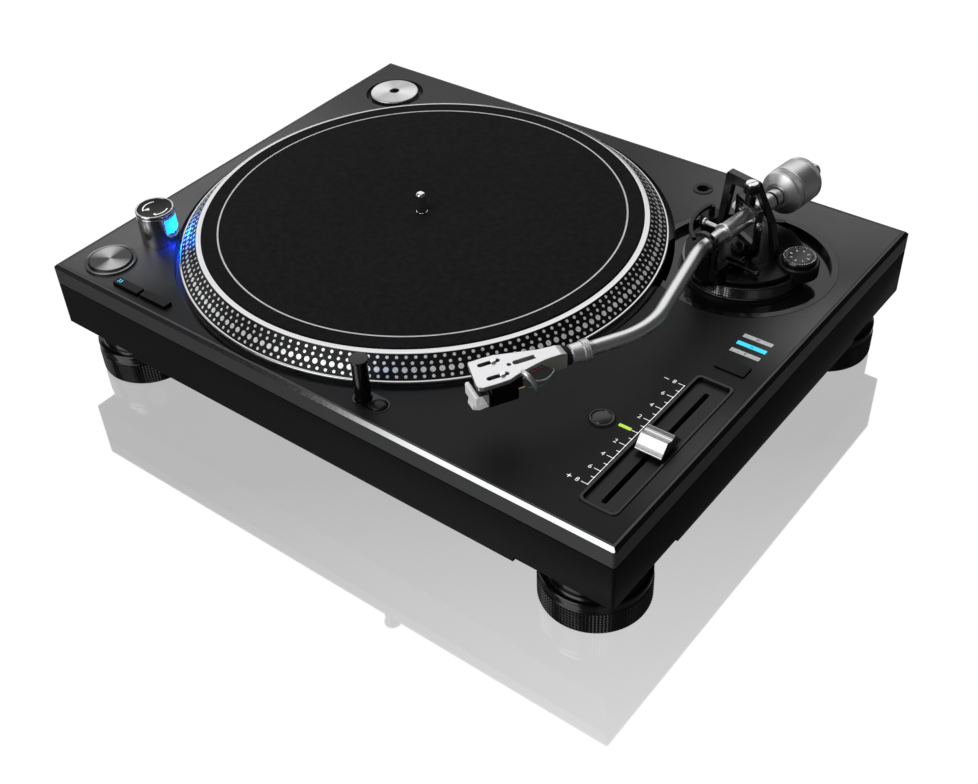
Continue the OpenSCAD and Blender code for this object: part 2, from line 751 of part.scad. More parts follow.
module headshell() {
  color(silver) shell_frame() difference() {
    union() {
      translate([-13.5, 0, z_arm]) rotate([0, 90, 0]) cylinder(r = 4, h = 15);
      translate([-3, 0, z_arm]) rotate([0, 90, 0]) cylinder(r = 5.3, h = 5);
      translate([0, 4.6, 0]) rotate([90, 0, 0]) linear_extrude(height = 9.2) polygon([
        [0, 116.4], [0, 126.8], [4, 128], [18, 128], [18, 126.4], [11, 121], [6, 116.4]
      ]);
      translate([0, 0, 125.2]) linear_extrude(height = 2.8) polygon([
        [4, -4.4], [14.5, -5.6], [21, -7.4], [27, -9], [32.5, -10.4], [38, -12], [46, -12.3],
        [54, -12], [57, -10], [57, 9.8], [54, 11.8], [46, 12.1], [38, 11.8],
        [32.5, 9.6], [27, 7.9], [21, 6.3], [14.5, 4.9], [4, 4.2]
      ]);
      translate([30.5, 12, 126.6]) difference() {
        cylinder(r = 7, h = 1.2);
        translate([0, 0, -1]) cylinder(r = 4.6, h = 4);
        translate([-1, -20, -1]) cube([20, 40, 4]);
      }
      translate([22.6, 11.8, 114]) cube([2.4, 3.2, 13.6]);
    }
    for (v = [-6.35, 6.35])
      translate([43, v - 0.3, 120]) linear_extrude(height = 10) stadium(13, 2.7);
    translate([21.5, -0.4, 120]) linear_extrude(height = 10) stadium(15, 2.6);
  }
}

module cartridge() {
  color(black) shell_frame() difference() {
    union() {
      box(29, 48, -8.4, 8, 117, 122.5);
      box(30, 47, -8.4, 8, 122.5, 125.2);
      box(31, 49, -7, 6.6, 107.5, 118);
      for (v = [-4.8, 4])
        for (z = [112, 118.5])
          translate([26, v, z]) rotate([0, 90, 0]) cylinder(r = 0.7, h = 5, $fn = 24);
    }
    for (v = [-6.35, 6.35]) cyl([43, v - 0.3], 1.3, 110, 130);
  }
}

module stylus() {
  color([0.92, 0.92, 0.9]) shell_frame() union() {
    box(36, 52.5, -3.4, 3, 105.6, 107.4);
    translate([0, 3.4, 0]) rotate([90, 0, 0]) linear_extrude(height = 7.2) polygon([
      [49.2, 105.6], [55.6, 104.6], [58.4, 106], [55, 118.6], [50, 118.6], [49.2, 112]
    ]);
    translate([47, -0.2, 104.2]) cylinder(r1 = 0.3, r2 = 0.7, h = 1.6, $fn = 24);
  }
}

module rest_clip() {
  color(black) arm_frame() union() {
    translate([43.2, 8, 105]) rotate([0, 90, 0]) cylinder(r = 3, h = 3.4);
    translate([30.5, 8, 105]) rotate([0, 90, 0]) cylinder(r = 1.5, h = 14);
    difference() {
      translate([43.2, 0, z_arm]) rotate([0, 90, 0]) cylinder(r = 9.8, h = 3.4);
      translate([42, 0, z_arm]) rotate([0, 90, 0]) cylinder(r = 7.4, h = 6);
      box(40, 50, -20, 6, 100, z_arm + 4.9);
      box(40, 50, -20, 20, 100, 116);
    }
    box(43.2, 46.6, 6.2, 9.2, 106, 131);
  }
}

module lift_bed() {
  color(black) union() {
    arm_frame() translate([0, 0, 110]) rotate([0, 0, -103]) rotate_extrude(angle = 71)
      translate([33.9, 0]) square([2.6, 2.4]);
    arm_frame() cyl([-9.2, -34], 2, 96, 111);
  }
}

module cue_lever() {
  color(silver) arm_frame() union() {
    translate([12, 8, 99.5]) rotate([0, 90, 0]) cylinder(r = 0.8, h = 16);
    translate([21.5, 6.9, 99.5]) rotate([-90, 0, 0]) cylinder(r = 1.1, h = 17);
    translate([21.5, 24, 99.5]) sphere(r = 2, $fn = 32);
  }
}

module antiskate_dial() {
  color(black) union() {
    translate([skate_at[0], skate_at[1], 0]) rotate_extrude() polygon([
      [0, 99.3], [skate_r, 99.3], [skate_r, 101.4], [skate_r - 1, 102.5], [0, 102.5]
    ]);
    cyl(skate_at, 3, 94, 100);
  }
}

module start_button() {
  color(silver) union() {
    translate([start_at[0], start_at[1], 0]) rotate_extrude() polygon([
      [0, 84], [start_r, 84], [start_r, 89.1], [start_r - 0.6, 89.7], [0, 89.7]
    ]);
    cyl(start_at, 4, 72, 85);
  }
}

module key(p, w, d, r, stem, top) {
  translate([p[0], p[1], 84]) linear_extrude(height = top - 84) rrect(w, d, r);
  cyl(p, stem, 72, 85);
}

module button_33() {
  color(silver) union() key(b33_at, 24, 6.6, 0.6, 2, 89.2);
}

module button_45() {
  color(silver) union() key(b45_at, 24, 6.6, 0.6, 2, 89.2);
}

module reset_button() {
  color(black) union() {
    cyl(reset_at, 7.5, 84, 87.6);
    cyl(reset_at, 2.5, 72, 85);
  }
}

module range_button() {
  color(black) union() key(range_at, 19.5, 10.1, 0.6, 2.5, 87.8);
}

module adaptor_45() {
  color(silver) translate([adaptor_at[0], adaptor_at[1], 0]) rotate_extrude() polygon([
    [3.6, 84], [7, 84], [7, 82.5], [adaptor_r - 0.5, 82.5], [adaptor_r, 83], [adaptor_r, 87.2],
    [adaptor_r - 1.2, 88.4], [8, 89], [7, 87.6], [3.6, 87.6]
  ]);
}

base_cabinet();
plinth_casting();
deck_plate();
tonearm_panel();
bottom_cover();
cover_screws();
bearing_housing();
stator_coils();
main_board();
strobe_tower();
strobe_window();
tempo_tray();
fader_body();
indicator_lamps();
lamp_bezel();
headshell_holder();
phono_jacks();
ground_post();
power_inlet();
foot_core(-1, -1);  // foot_core_fl
foot_core(1, -1);  // foot_core_fr
foot_core(-1, 1);  // foot_core_bl
foot_core(1, 1);  // foot_core_br
foot_ring(-1, -1);  // foot_ring_fl
foot_ring(1, -1);  // foot_ring_fr
foot_ring(-1, 1);  // foot_ring_bl
foot_ring(1, 1);  // foot_ring_br
platter();
rotor_magnet();
spindle();
slipmat();
arm_base();
height_ring();
height_lock();
arm_platform();
gimbal_bridge();
rest_clip();
lift_bed();
cue_lever();
antiskate_dial();
gimbal_frame();
arm_hub();
arm_tube();
weight_insert();
counterweight();
weight_dial();
locking_collar();
headshell();
cartridge();
stylus();
start_button();
button_33();
button_45();
reset_button();
range_button();
lamp_button();
power_knob();
tempo_knob();
popup_lamp();
adaptor_45();
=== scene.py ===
import json
from math import atan2, copysign, cos, degrees, hypot, pi, radians, sin, tan

import bmesh
import bpy
from mathutils import Matrix, Vector

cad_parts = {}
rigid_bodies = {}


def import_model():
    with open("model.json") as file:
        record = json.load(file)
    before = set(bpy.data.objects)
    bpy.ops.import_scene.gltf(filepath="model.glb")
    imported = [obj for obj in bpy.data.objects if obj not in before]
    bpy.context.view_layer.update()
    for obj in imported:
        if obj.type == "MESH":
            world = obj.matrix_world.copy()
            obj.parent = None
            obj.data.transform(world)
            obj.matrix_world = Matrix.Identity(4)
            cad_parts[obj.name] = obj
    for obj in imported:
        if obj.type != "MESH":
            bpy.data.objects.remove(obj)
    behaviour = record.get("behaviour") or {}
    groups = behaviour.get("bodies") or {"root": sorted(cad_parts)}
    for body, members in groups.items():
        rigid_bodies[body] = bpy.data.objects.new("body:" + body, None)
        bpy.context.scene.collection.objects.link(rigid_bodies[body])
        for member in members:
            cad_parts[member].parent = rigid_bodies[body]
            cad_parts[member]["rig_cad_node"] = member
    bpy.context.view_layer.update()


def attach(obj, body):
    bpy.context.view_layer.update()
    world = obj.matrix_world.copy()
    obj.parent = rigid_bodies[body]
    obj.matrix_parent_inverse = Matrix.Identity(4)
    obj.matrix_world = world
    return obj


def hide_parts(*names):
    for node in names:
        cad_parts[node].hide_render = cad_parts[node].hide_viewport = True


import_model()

# Places and heights in millimetres, origin under the middle of the body.
MM = 0.001
Z_DECK = 86.6
Z_ARM = 121.5
PLATTER = (-43.0, -3.0)
PIVOT = (153.7, 85.0)
TOWER = (-188.0, -112.0)
START = (-196.0, -150.7)
LAMP = (40.1, -159.6)
RELEASE = (52.2, -160.0)
HOLDER = (87.2, 147.2)
ADAPTOR = (-188.0, 137.0)
RESET = (164.0, -95.0)
SKATE = (189.5, 89.5)
LOCK = (145.3, 132.8)
FOOT_X = 192
FOOT_Y = 141
MAT_RING_R = 137.9
PRINT_T = 0.03


def turn(angle, axis="Z"):
    return Matrix.Rotation(radians(angle), 4, axis)


def shift(x, y, z=0.0):
    return Matrix.Translation((x, y, z))


def at(point):
    return shift(point[0], point[1])


ARM = at(PIVOT) @ turn(-96.8)
SHELL = ARM @ shift(182.6, 7.3) @ turn(-22)
ARM_AXIS = ARM @ shift(0, 0, Z_ARM) @ turn(90, "Y")
SHELL_AXIS = SHELL @ shift(0, 0, Z_ARM) @ turn(90, "Y")
SKEW = ARM @ turn(68)
SKEW_AXIS = SKEW @ shift(0, 0, Z_ARM) @ turn(90, "Y")


class Nodes:
    """A node tree with short ways to add to it."""

    def __init__(self, tree):
        self.tree = tree

    def fill(self, node, sockets):
        """Sets each named socket to a value, or links it to an output."""
        for key, value in sockets.items():
            if isinstance(value, bpy.types.NodeSocket):
                self.tree.links.new(value, node.inputs[key])
            else:
                node.inputs[key].default_value = value

    def put(self, kind, sockets=None, **settings):
        """Adds a node with its settings and its sockets, and gives its outputs."""
        node = self.tree.nodes.new(kind)
        for key, value in settings.items():
            setattr(node, key, value)
        self.fill(node, sockets or {})
        return node.outputs

    def calc(self, operation, *values):
        return self.put("ShaderNodeMath", dict(enumerate(values)), operation=operation)["Value"]

    def vector(self, operation, *values):
        outputs = self.put("ShaderNodeVectorMath", dict(enumerate(values)), operation=operation)
        return outputs["Value" if operation in ("LENGTH", "DOT_PRODUCT") else "Vector"]

    def split(self, value):
        return self.put("ShaderNodeSeparateXYZ", {"Vector": value})

    def spread(self, value, low, high, a=0.3, b=0.7, **settings):
        sockets = {"Value": value, "From Min": a, "From Max": b, "To Min": low, "To Max": high}
        return self.put("ShaderNodeMapRange", sockets, **settings)["Result"]

    def camera_ray(self):
        return self.put("ShaderNodeLightPath")["Is Camera Ray"]


# Materials: every finish is procedural and reads object coordinates in metres.


class Finish(Nodes):
    """One Principled material with room for grain, bump and marks."""

    def __init__(self, name, color, rough, metal=0.0, specular=0.5, coat=0.0):
        self.mat = bpy.data.materials.new(name)
        self.mat.use_nodes = True
        super().__init__(self.mat.node_tree)
        self.color = color
        self.rough = rough
        self.last_bump = None
        self.place = self.put("ShaderNodeTexCoord")["Object"]
        self.set({"Base Color": self.tint(1), "Roughness": rough, "Metallic": metal})
        self.set({"Specular IOR Level": specular, "Coat Weight": coat, "Coat Roughness": 0.08})

    def set(self, sockets):
        self.fill(self.tree.nodes["Principled BSDF"], sockets)
        return self

    def tint(self, level):
        return (*[c * level for c in self.color], 1)

    def noise(self, scale, detail=2.0, roughness=0.55):
        scale = scale if isinstance(scale, tuple) else (scale, scale, scale)
        place = self.put("ShaderNodeMapping", {"Vector": self.place, "Scale": scale})["Vector"]
        sockets = {"Vector": place, "Scale": 1.0, "Detail": detail, "Roughness": roughness}
        return self.put("ShaderNodeTexNoise", sockets)["Fac"]

    def blend(self, factor, a, b):
        sockets = {"Factor": factor, "A": a, "B": b}
        return self.put("ShaderNodeMix", sockets, data_type="RGBA")["Result"]

    def vary(self, value, rough, dark=None, light=None):
        """Lets a pattern move the roughness up and down, and the colour if asked."""
        self.set({"Roughness": self.spread(value, self.rough - rough, self.rough + rough)})
        if dark is not None:
            factor = self.spread(value, 0, 1)
            self.set({"Base Color": self.blend(factor, self.tint(dark), self.tint(light))})

    def bump(self, value, depth, strength=0.3):
        sockets = {"Height": value, "Distance": depth, "Strength": strength}
        if self.last_bump is not None:
            sockets["Normal"] = self.last_bump
        self.last_bump = self.put("ShaderNodeBump", sockets)["Normal"]
        return self.set({"Normal": self.last_bump})

    def grain(self, scale, rough=0.06, depth=0.00002, strength=0.2, dark=0.85, light=1.15):
        value = self.noise(scale)
        self.vary(value, rough, dark, light)
        return self.bump(value, depth, strength)

    def glow(self, color, power):
        return self.set({"Emission Color": (*color, 1), "Emission Strength": power})

    def flat_from(self, centre):
        """Vector from an upright axis to the surface, level with the deck."""
        middle = (centre[0] * MM, centre[1] * MM, 0)
        return self.vector("MULTIPLY", self.vector("SUBTRACT", self.place, middle), (1, 1, 0))

    def distance(self, centre):
        return self.vector("LENGTH", self.flat_from(centre))

    def spun(self, centre, lines, rough, strength, aniso):
        """Fine turned rings round an upright axis, with a radial highlight."""
        sockets = {"W": self.distance(centre), "Scale": lines, "Detail": 2.0}
        rings = self.put("ShaderNodeTexNoise", sockets, noise_dimensions="1D")["Fac"]
        self.vary(rings, rough, 0.9, 1.08)
        self.bump(rings, 0.00002, strength)
        cross = self.vector("CROSS_PRODUCT", self.flat_from(centre), (0, 0, 1))
        return self.set({"Tangent": self.vector("NORMALIZE", cross), "Anisotropic": aniso})

    def wedges(self, centre, angle, dark):
        """Painted highlight: darkens the base colour in two opposite wedges, as turned metal looks between
        its highlights.
        """
        flat = self.split(self.flat_from(centre))
        around = self.calc("ARCTAN2", flat["Y"], flat["X"])
        twice = self.calc("MULTIPLY_ADD", around, 2.0, -2.0 * radians(angle))
        factor = self.spread(self.calc("COSINE", twice), 0, 1, -0.6, 0.9)
        return self.set({"Base Color": self.blend(factor, self.tint(dark), self.tint(1))})

    def sheen_by_place(self, spots, base):
        """Painted sheen: specular level that rises in soft round areas given as x, y, radius and level."""
        total = base
        for x, y, radius, level in spots:
            far = self.distance((x, y))
            fall = self.spread(far, level, 0.0, 0.0, radius * MM, interpolation_type="SMOOTHSTEP")
            total = self.calc("ADD", fall, total)
        return self.set({"Specular IOR Level": total})

    def felt(self):
        """Felt fibres and the printed ring of the mat."""
        value = self.noise(1400, 5.0, 0.7)
        self.vary(value, 0.04)
        self.bump(value, 0.0002, 0.55)
        fibre = self.noise(260, 4.0, 0.6)
        self.bump(fibre, 0.0003, 0.25)
        near = self.calc("ABSOLUTE", self.calc("SUBTRACT", self.distance(PLATTER), MAT_RING_R * MM))
        mask = self.spread(near, 1.0, 0.0, 0.5 * MM, 0.62 * MM)
        dark = (0.008, 0.008, 0.0085, 1)
        light = (0.0155, 0.0155, 0.016, 1)
        base = self.blend(self.spread(fibre, 0, 1), dark, light)
        return self.set({"Base Color": self.blend(mask, base, (0.95, 0.95, 0.95, 1))})


# Painted reflection on the deck: soft round areas, x, y and radius in mm, where the specular level is raised
# by the given level.
DECK_PAINTED_SHEEN = [
    (-100, 100, 300, 0.22), (-250, -30, 170, 1.0), (-240, -180, 100, 0.5), (-190, -120, 75, 0.75),
    (250, 50, 80, 1.3), (250, -90, 80, 0.5), (170, 200, 170, 1.0),
]
DECK = Finish("deck brushed", (0.015, 0.0152, 0.0158), 0.42, 0.0, 0.3)
DECK.grain((60, 3000, 60), 0.07, 0.00003, 0.35, 0.8, 1.2)
DECK.bump(DECK.noise(2600, 3.0), 0.00002, 0.12).sheen_by_place(DECK_PAINTED_SHEEN, 0.13)
BAND = Finish("band satin", (0.072, 0.073, 0.076), 0.4, 0.0, 0.3)
BAND.grain((400, 400, 2600), 0.05, 0.00002, 0.15)
BODY = Finish("body moulded", (0.0068, 0.0068, 0.0072), 0.5, 0.0, 0.15).grain(1500, 0.08, 0.00004, 0.3)
# Bright metal on the front bevel only, painted light; the other bevels are gloss black.
BEVEL = Finish("front bevel painted light", (0.38, 0.38, 0.385), 0.1, 1.0)
BEVEL.grain(600, 0.02, 0.000004, 0.04, 0.97, 1.03)
GLOSS = Finish("gloss black", (0.006, 0.006, 0.0065), 0.14, 0.0, 0.35, 0.15)
GLOSS.grain(900, 0.03, 0.00001, 0.05)
KEY = Finish("key black", (0.005, 0.005, 0.0055), 0.3, 0.0, 0.12).grain(900, 0.03, 0.00001, 0.05)
FOOT_BLACK = Finish("foot black", (0.006, 0.006, 0.0062), 0.16, 0.0, 0.45)
FOOT_BLACK.grain(1500, 0.04, 0.00001, 0.08)
ARM_BLACK = Finish("arm base black", (0.0035, 0.0035, 0.0038), 0.3, 0.0, 0.16)
ARM_BLACK.grain(1500, 0.05, 0.00001, 0.1)
KNURL = Finish("knurled black", (0.02, 0.02, 0.0205), 0.14, 0.0, 1.6).grain(1200, 0.04, 0.00001, 0.08)
SATIN_BLACK = Finish("satin black", (0.008, 0.008, 0.0085), 0.36, 0.0, 0.3)
SATIN_BLACK.grain(1800, 0.06, 0.00002, 0.15)
BLACK_METAL = Finish("black metal", (0.006, 0.006, 0.0065), 0.22, 0.0, 0.6)
BLACK_METAL.grain(1200, 0.06, 0.00002, 0.12)
RUBBER = Finish("foot rubber", (0.011, 0.011, 0.011), 0.72, 0.0, 0.25).grain(2200, 0.06, 0.00004, 0.3)
FELT = Finish("mat felt", (0.0105, 0.0105, 0.011), 0.95, 0.0, 0.2).felt()
CHROME = Finish("chrome", (0.85, 0.85, 0.86), 0.09, 1.0).grain(300, 0.02, 0.00001, 0.03, 0.96, 1.03)
TOWER_METAL = Finish("tower metal", (0.62, 0.62, 0.625), 0.2, 1.0)
TOWER_METAL.grain((1100, 1100, 12), 0.06, 0.00001, 0.12, 0.65, 1.3)
SATIN = Finish("satin aluminium", (0.86, 0.86, 0.87), 0.36, 1.0)
SATIN.grain(2400, 0.06, 0.00002, 0.16, 0.94, 1.05)
KNOB_METAL = Finish("knob satin", (0.52, 0.52, 0.53), 0.3, 1.0)
KNOB_METAL.grain(2400, 0.05, 0.00002, 0.12, 0.95, 1.05)
TURNED = Finish("turned aluminium", (0.85, 0.85, 0.86), 0.42, 1.0)
TURNED.grain((1200, 3200, 1200), 0.06, 0.00001, 0.14, 0.92, 1.06)
PLATTER_RIM = Finish("platter rim", (0.76, 0.76, 0.77), 0.2, 1.0).spun(PLATTER, 900, 0.05, 0.08, 0.4)
PLATTER_BLACK = Finish("platter black", (0.006, 0.006, 0.0065), 0.34, 0.0, 0.2)
PLATTER_BLACK.spun(PLATTER, 900, 0.05, 0.08, 0.3)
DOT = Finish("strobe dots", (0.88, 0.88, 0.88), 0.3, 0.4).grain(700, 0.04, 0.00001, 0.03)
# Painted light: the strobe dots glow faintly white.
DOT.glow((1.0, 1.0, 1.0), 0.09)
# The start button and the adaptor have painted highlight wedges in their base colour.
START_METAL = Finish("start button metal", (0.5, 0.5, 0.505), 0.3, 1.0)
START_METAL.spun(START, 1800, 0.03, 0.06, 0.92).wedges(START, -28.0, 0.14)
ADAPTOR_METAL = Finish("adaptor metal", (0.9, 0.9, 0.9), 0.32, 1.0)
ADAPTOR_METAL.spun(ADAPTOR, 1800, 0.03, 0.06, 0.92).wedges(ADAPTOR, 20.0, 0.62)
WHITE = Finish("white plastic", (0.9, 0.9, 0.9), 0.3, 0.0, 0.6).grain(1500, 0.05, 0.00001, 0.08)
# Painted light: the white plastic glows faintly.
WHITE.glow((1.0, 1.0, 1.0), 0.2)
PRINT = Finish("white print", (0.92, 0.92, 0.92), 0.5, 0.0, 0.3)
# Painted light: the white print glows.
PRINT.grain(3000, 0.05, 0.00001, 0.05, 0.95, 1.02).glow((1.0, 1.0, 1.0), 0.5)
DARK_PRINT = Finish("dark print", (0.012, 0.012, 0.012), 0.5, 0.0, 0.2)
DARK_PRINT.grain(3000, 0.05, 0.00001, 0.05)


def lit(name, color, rough, glow, power):
    return Finish(name, color, rough).grain(800, 0.05, 0.00001, 0.05).glow(glow, power)


CYAN = lit("lit cyan", (0.01, 0.12, 0.2), 0.3, (0.025, 0.7, 0.9), 1.0)
CYAN_PRINT = lit("lit number", (0.1, 0.6, 0.8), 0.3, (0.05, 0.7, 0.9), 1.0)
GREEN = lit("lit green", (0.5, 0.8, 0.1), 0.3, (0.40, 0.60, 0.05), 0.75)
# Painted light: the unlit bar still glows faintly.
BAR = lit("unlit bar", (0.75, 0.77, 0.78), 0.35, (0.9, 0.95, 1.0), 0.06)
BLUE = lit("lit blue", (0.2, 0.4, 1.0), 0.3, (0.35, 0.6, 1.0), 6.0)
COPPER = Finish("copper wire", (0.6, 0.28, 0.12), 0.35, 1.0).grain((4000, 4000, 600), 0.08, 0.00003, 0.4)
BOARD = Finish("circuit board", (0.02, 0.1, 0.05), 0.4).grain(1500, 0.08, 0.00002, 0.2)
STEEL = Finish("turned steel", (0.5, 0.5, 0.52), 0.28, 1.0).grain(2500, 0.06, 0.00001, 0.12)
GILT = Finish("gilt", (0.75, 0.56, 0.2), 0.25, 1.0).grain(1500, 0.06, 0.00001, 0.1)
MAGNET = Finish("magnet", (0.05, 0.05, 0.052), 0.5, 0.4).grain(1200, 0.08, 0.00002, 0.2)
WIRE_COLORS = {"white": (0.8, 0.8, 0.78), "red": (0.5, 0.03, 0.03), "green": (0.03, 0.25, 0.08),
               "blue": (0.03, 0.08, 0.4)}
WIRES = {}
for tint, color in WIRE_COLORS.items():
    WIRES[tint] = Finish("wire " + tint, color, 0.4).grain(2500, 0.05, 0.00002, 0.1)


# Mesh helpers. Sizes are in millimetres and a matrix places each piece.


def rounded(points, radius, steps=3, closed=True):
    """The outline with each corner replaced by a small arc."""
    count = len(points)
    out = []
    for i, point in enumerate(points):
        p = Vector(point)
        a = Vector(points[i - 1]) - p
        b = Vector(points[(i + 1) % count]) - p
        r = radius[i] if isinstance(radius, list) else radius
        end = not closed and i in (0, count - 1)
        if end or min(a.length, b.length) < 1e-6 or a.angle(b) > radians(172):
            out.append(tuple(p))
            continue
        reach = min(r / tan(a.angle(b) / 2), a.length * 0.45, b.length * 0.45)
        first = p + a.normalized() * reach
        last = p + b.normalized() * reach
        for k in range(steps + 1):
            t = k / steps
            out.append(tuple(first * (1 - t) ** 2 + p * 2 * t * (1 - t) + last * t * t))
    return out


def circle(radius, count, centre=(0, 0), start=0.0, end=360.0):
    steps = count if end - start == 360.0 else count - 1
    out = []
    for k in range(count):
        a = radians(start + (end - start) * k / steps)
        out.append((centre[0] + radius * cos(a), centre[1] + radius * sin(a)))
    return out


def box_outline(x0, y0, x1, y1, r=0.8, steps=4):
    return rounded([(x0, y0), (x1, y0), (x1, y1), (x0, y1)], r, steps)


def stadium(reach, half, middle):
    """A slot outline along X, round at both ends."""
    x, y = middle
    right = circle(half, 10, (x + (reach - half), y), -90, 90)
    return right + circle(half, 10, (x - (reach - half), y), 90, 270)


def new_object(name, data):
    obj = bpy.data.objects.new(name, data)
    bpy.context.scene.collection.objects.link(obj)
    return obj


class Shape:
    """Gathers vertices and faces, in millimetres, into one object."""

    def __init__(self):
        self.verts = []
        self.faces = []
        self.index = []

    def add(self, verts, faces, matrix=None, slot=0):
        base = len(self.verts)
        for v in verts:
            self.verts.append(matrix @ Vector(v) if matrix else Vector(v))
        for f in faces:
            self.faces.append([base + i for i in f])
            self.index.append(slot)
        return self

    def lathe(self, profile, matrix=None, segments=96, closed=True, slot=0, start=0.0, sweep=360.0):
        full = sweep == 360.0
        steps = segments if full else max(2, int(segments * sweep / 360.0))
        columns = steps if full else steps + 1
        verts = []
        rings = []
        for r, h in profile:
            if r < 1e-6:
                rings.append([len(verts)] * columns)
                verts.append((0, 0, h))
                continue
            rings.append([len(verts) + k for k in range(columns)])
            for k in range(columns):
                a = radians(start + sweep * k / steps)
                verts.append((r * cos(a), r * sin(a), h))
        faces = []
        count = len(profile)
        for i in range(count if closed else count - 1):
            a = rings[i]
            b = rings[(i + 1) % count]
            for k in range(steps):
                n = (k + 1) % columns
                face = list(dict.fromkeys([a[k], a[n], b[n], b[k]]))
                if len(face) > 2:
                    faces.append(face)
        if not full and closed:
            faces.append([r[0] for r in rings][::-1])
            faces.append([r[-1] for r in rings])
        return self.add(verts, faces, matrix, slot)

    def turned(self, profile, soft, matrix, segments=96, closed=True):
        """A lathe whose profile has rounded corners."""
        return self.lathe(rounded(profile, soft, 3, closed), matrix, segments, closed)

    def rod(self, radius, low, high, matrix, segments=32):
        return self.lathe([(0, low), (radius, low), (radius, high), (0, high)], matrix, segments)

    def prism(self, outline, z0, z1, matrix=None, slot=0):
        count = len(outline)
        verts = [(x, y, z0) for x, y in outline] + [(x, y, z1) for x, y in outline]
        faces = [list(range(count))[::-1], [count + i for i in range(count)]]
        for i in range(count):
            n = (i + 1) % count
            faces.append([i, n, count + n, count + i])
        return self.add(verts, faces, matrix, slot)

    def block(self, low, high, matrix=None):
        outline = [(low[0], low[1]), (high[0], low[1]), (high[0], high[1]), (low[0], high[1])]
        return self.prism(outline, low[2], high[2], matrix)

    def knurl(self, radius, height, z0, z1, columns, rows, matrix):
        """A band of small pyramids round the axis."""
        verts = []
        layers = [(radius, 0.0, j) for j in range(rows + 1)]
        layers += [(radius + height, 0.5, j + 0.5) for j in range(rows)]
        for r, offset, j in layers:
            for k in range(columns):
                a = 2 * pi * (k + offset) / columns
                verts.append((r * cos(a), r * sin(a), z0 + (z1 - z0) * j / rows))
        tops = (rows + 1) * columns
        faces = []
        for j in range(rows):
            for k in range(columns):
                n = (k + 1) % columns
                low = j * columns
                up = low + columns
                ring = [low + k, low + n, up + n, up + k]
                for c in range(4):
                    faces.append([ring[c], ring[(c + 1) % 4], tops + low + k])
        return self.add(verts, faces, matrix)

    def sweep(self, points, radius, segments=20, matrix=None):
        """A round bar along points."""
        points = [Vector(p) for p in points]
        count = len(points)
        radii = radius if isinstance(radius, list) else [radius] * count
        side = None
        verts = []
        for i, p in enumerate(points):
            ahead = points[min(i + 1, count - 1)] - points[max(i - 1, 0)]
            ahead.normalize()
            if side is None:
                guess = Vector((0, 0, 1)) if abs(ahead.z) < 0.9 else Vector((1, 0, 0))
                side = ahead.cross(guess).normalized()
            side = (side - ahead * side.dot(ahead)).normalized()
            other = ahead.cross(side)
            for k in range(segments):
                a = 2 * pi * k / segments
                verts.append(p + (side * cos(a) + other * sin(a)) * radii[i])
        faces = []
        for a in range(0, (count - 1) * segments, segments):
            for k in range(segments):
                n = (k + 1) % segments
                faces.append([a + k, a + n, a + segments + n, a + segments + k])
        faces.append(list(range(segments))[::-1])
        faces.append([(count - 1) * segments + k for k in range(segments)])
        return self.add(verts, faces, matrix)

    def number(self, text, size, matrix):
        """Adds a number as thin raised print."""
        curve = bpy.data.curves.new("number", "FONT")
        curve.body = text
        curve.size = size
        curve.align_x = "CENTER"
        curve.align_y = "CENTER"
        curve.resolution_u = 3
        obj = new_object("number", curve)
        graph = bpy.context.evaluated_depsgraph_get()
        mesh = bpy.data.meshes.new_from_object(obj.evaluated_get(graph))
        verts = [(v.co.x, v.co.y, PRINT_T) for v in mesh.vertices]
        self.add(verts, [list(p.vertices) for p in mesh.polygons], matrix)
        bpy.data.objects.remove(obj)
        bpy.data.curves.remove(curve)
        bpy.data.meshes.remove(mesh)
        return self

    def mesh(self, name):
        mesh = bpy.data.meshes.new(name)
        mesh.from_pydata([tuple(v * MM) for v in self.verts], [], self.faces)
        return mesh

    def make(self, name, finishes, body, replaces=None, slot=None, bevel=0.0, sharp=38.0):
        mesh = self.mesh(name)
        for f in finishes if isinstance(finishes, list) else [finishes]:
            mesh.materials.append(f.mat)
        mesh.polygons.foreach_set("material_index", self.index)
        obj = new_object(name, mesh)
        tidy(obj, sharp)
        if bevel:
            soften(obj, bevel)
        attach(obj, body)
        if replaces:
            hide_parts(replaces)
        return obj


def tidy(obj, sharp=38.0):
    """Faces point outwards and shade smoothly up to an angle."""
    bm = bmesh.new()
    bm.from_mesh(obj.data)
    bmesh.ops.recalc_face_normals(bm, faces=bm.faces)
    for face in bm.faces:
        face.smooth = True
    for edge in bm.edges:
        pair = len(edge.link_faces) == 2
        edge.smooth = pair and edge.calc_face_angle(0) < radians(sharp)
    bm.to_mesh(obj.data)
    bm.free()


def soften(obj, width):
    mod = obj.modifiers.new("edge", "BEVEL")
    mod.width = width * MM
    mod.segments = 2
    mod.limit_method = "ANGLE"
    mod.angle_limit = radians(40)
    mod.harden_normals = True


def carve(obj, cutter):
    """Cuts a Shape out of an object and keeps the result as its mesh."""
    tool = new_object("cutter", cutter.mesh("cutter"))
    tidy(tool)
    others = list(obj.modifiers)
    for m in others:
        m.show_viewport = False
    mod = obj.modifiers.new("cut", "BOOLEAN")
    mod.solver = "EXACT"
    mod.object = tool
    graph = bpy.context.evaluated_depsgraph_get()
    graph.update()
    result = bpy.data.meshes.new_from_object(obj.evaluated_get(graph))
    obj.modifiers.remove(mod)
    for m in others:
        m.show_viewport = True
    obj.data = result
    bpy.data.objects.remove(tool)
    tidy(obj)


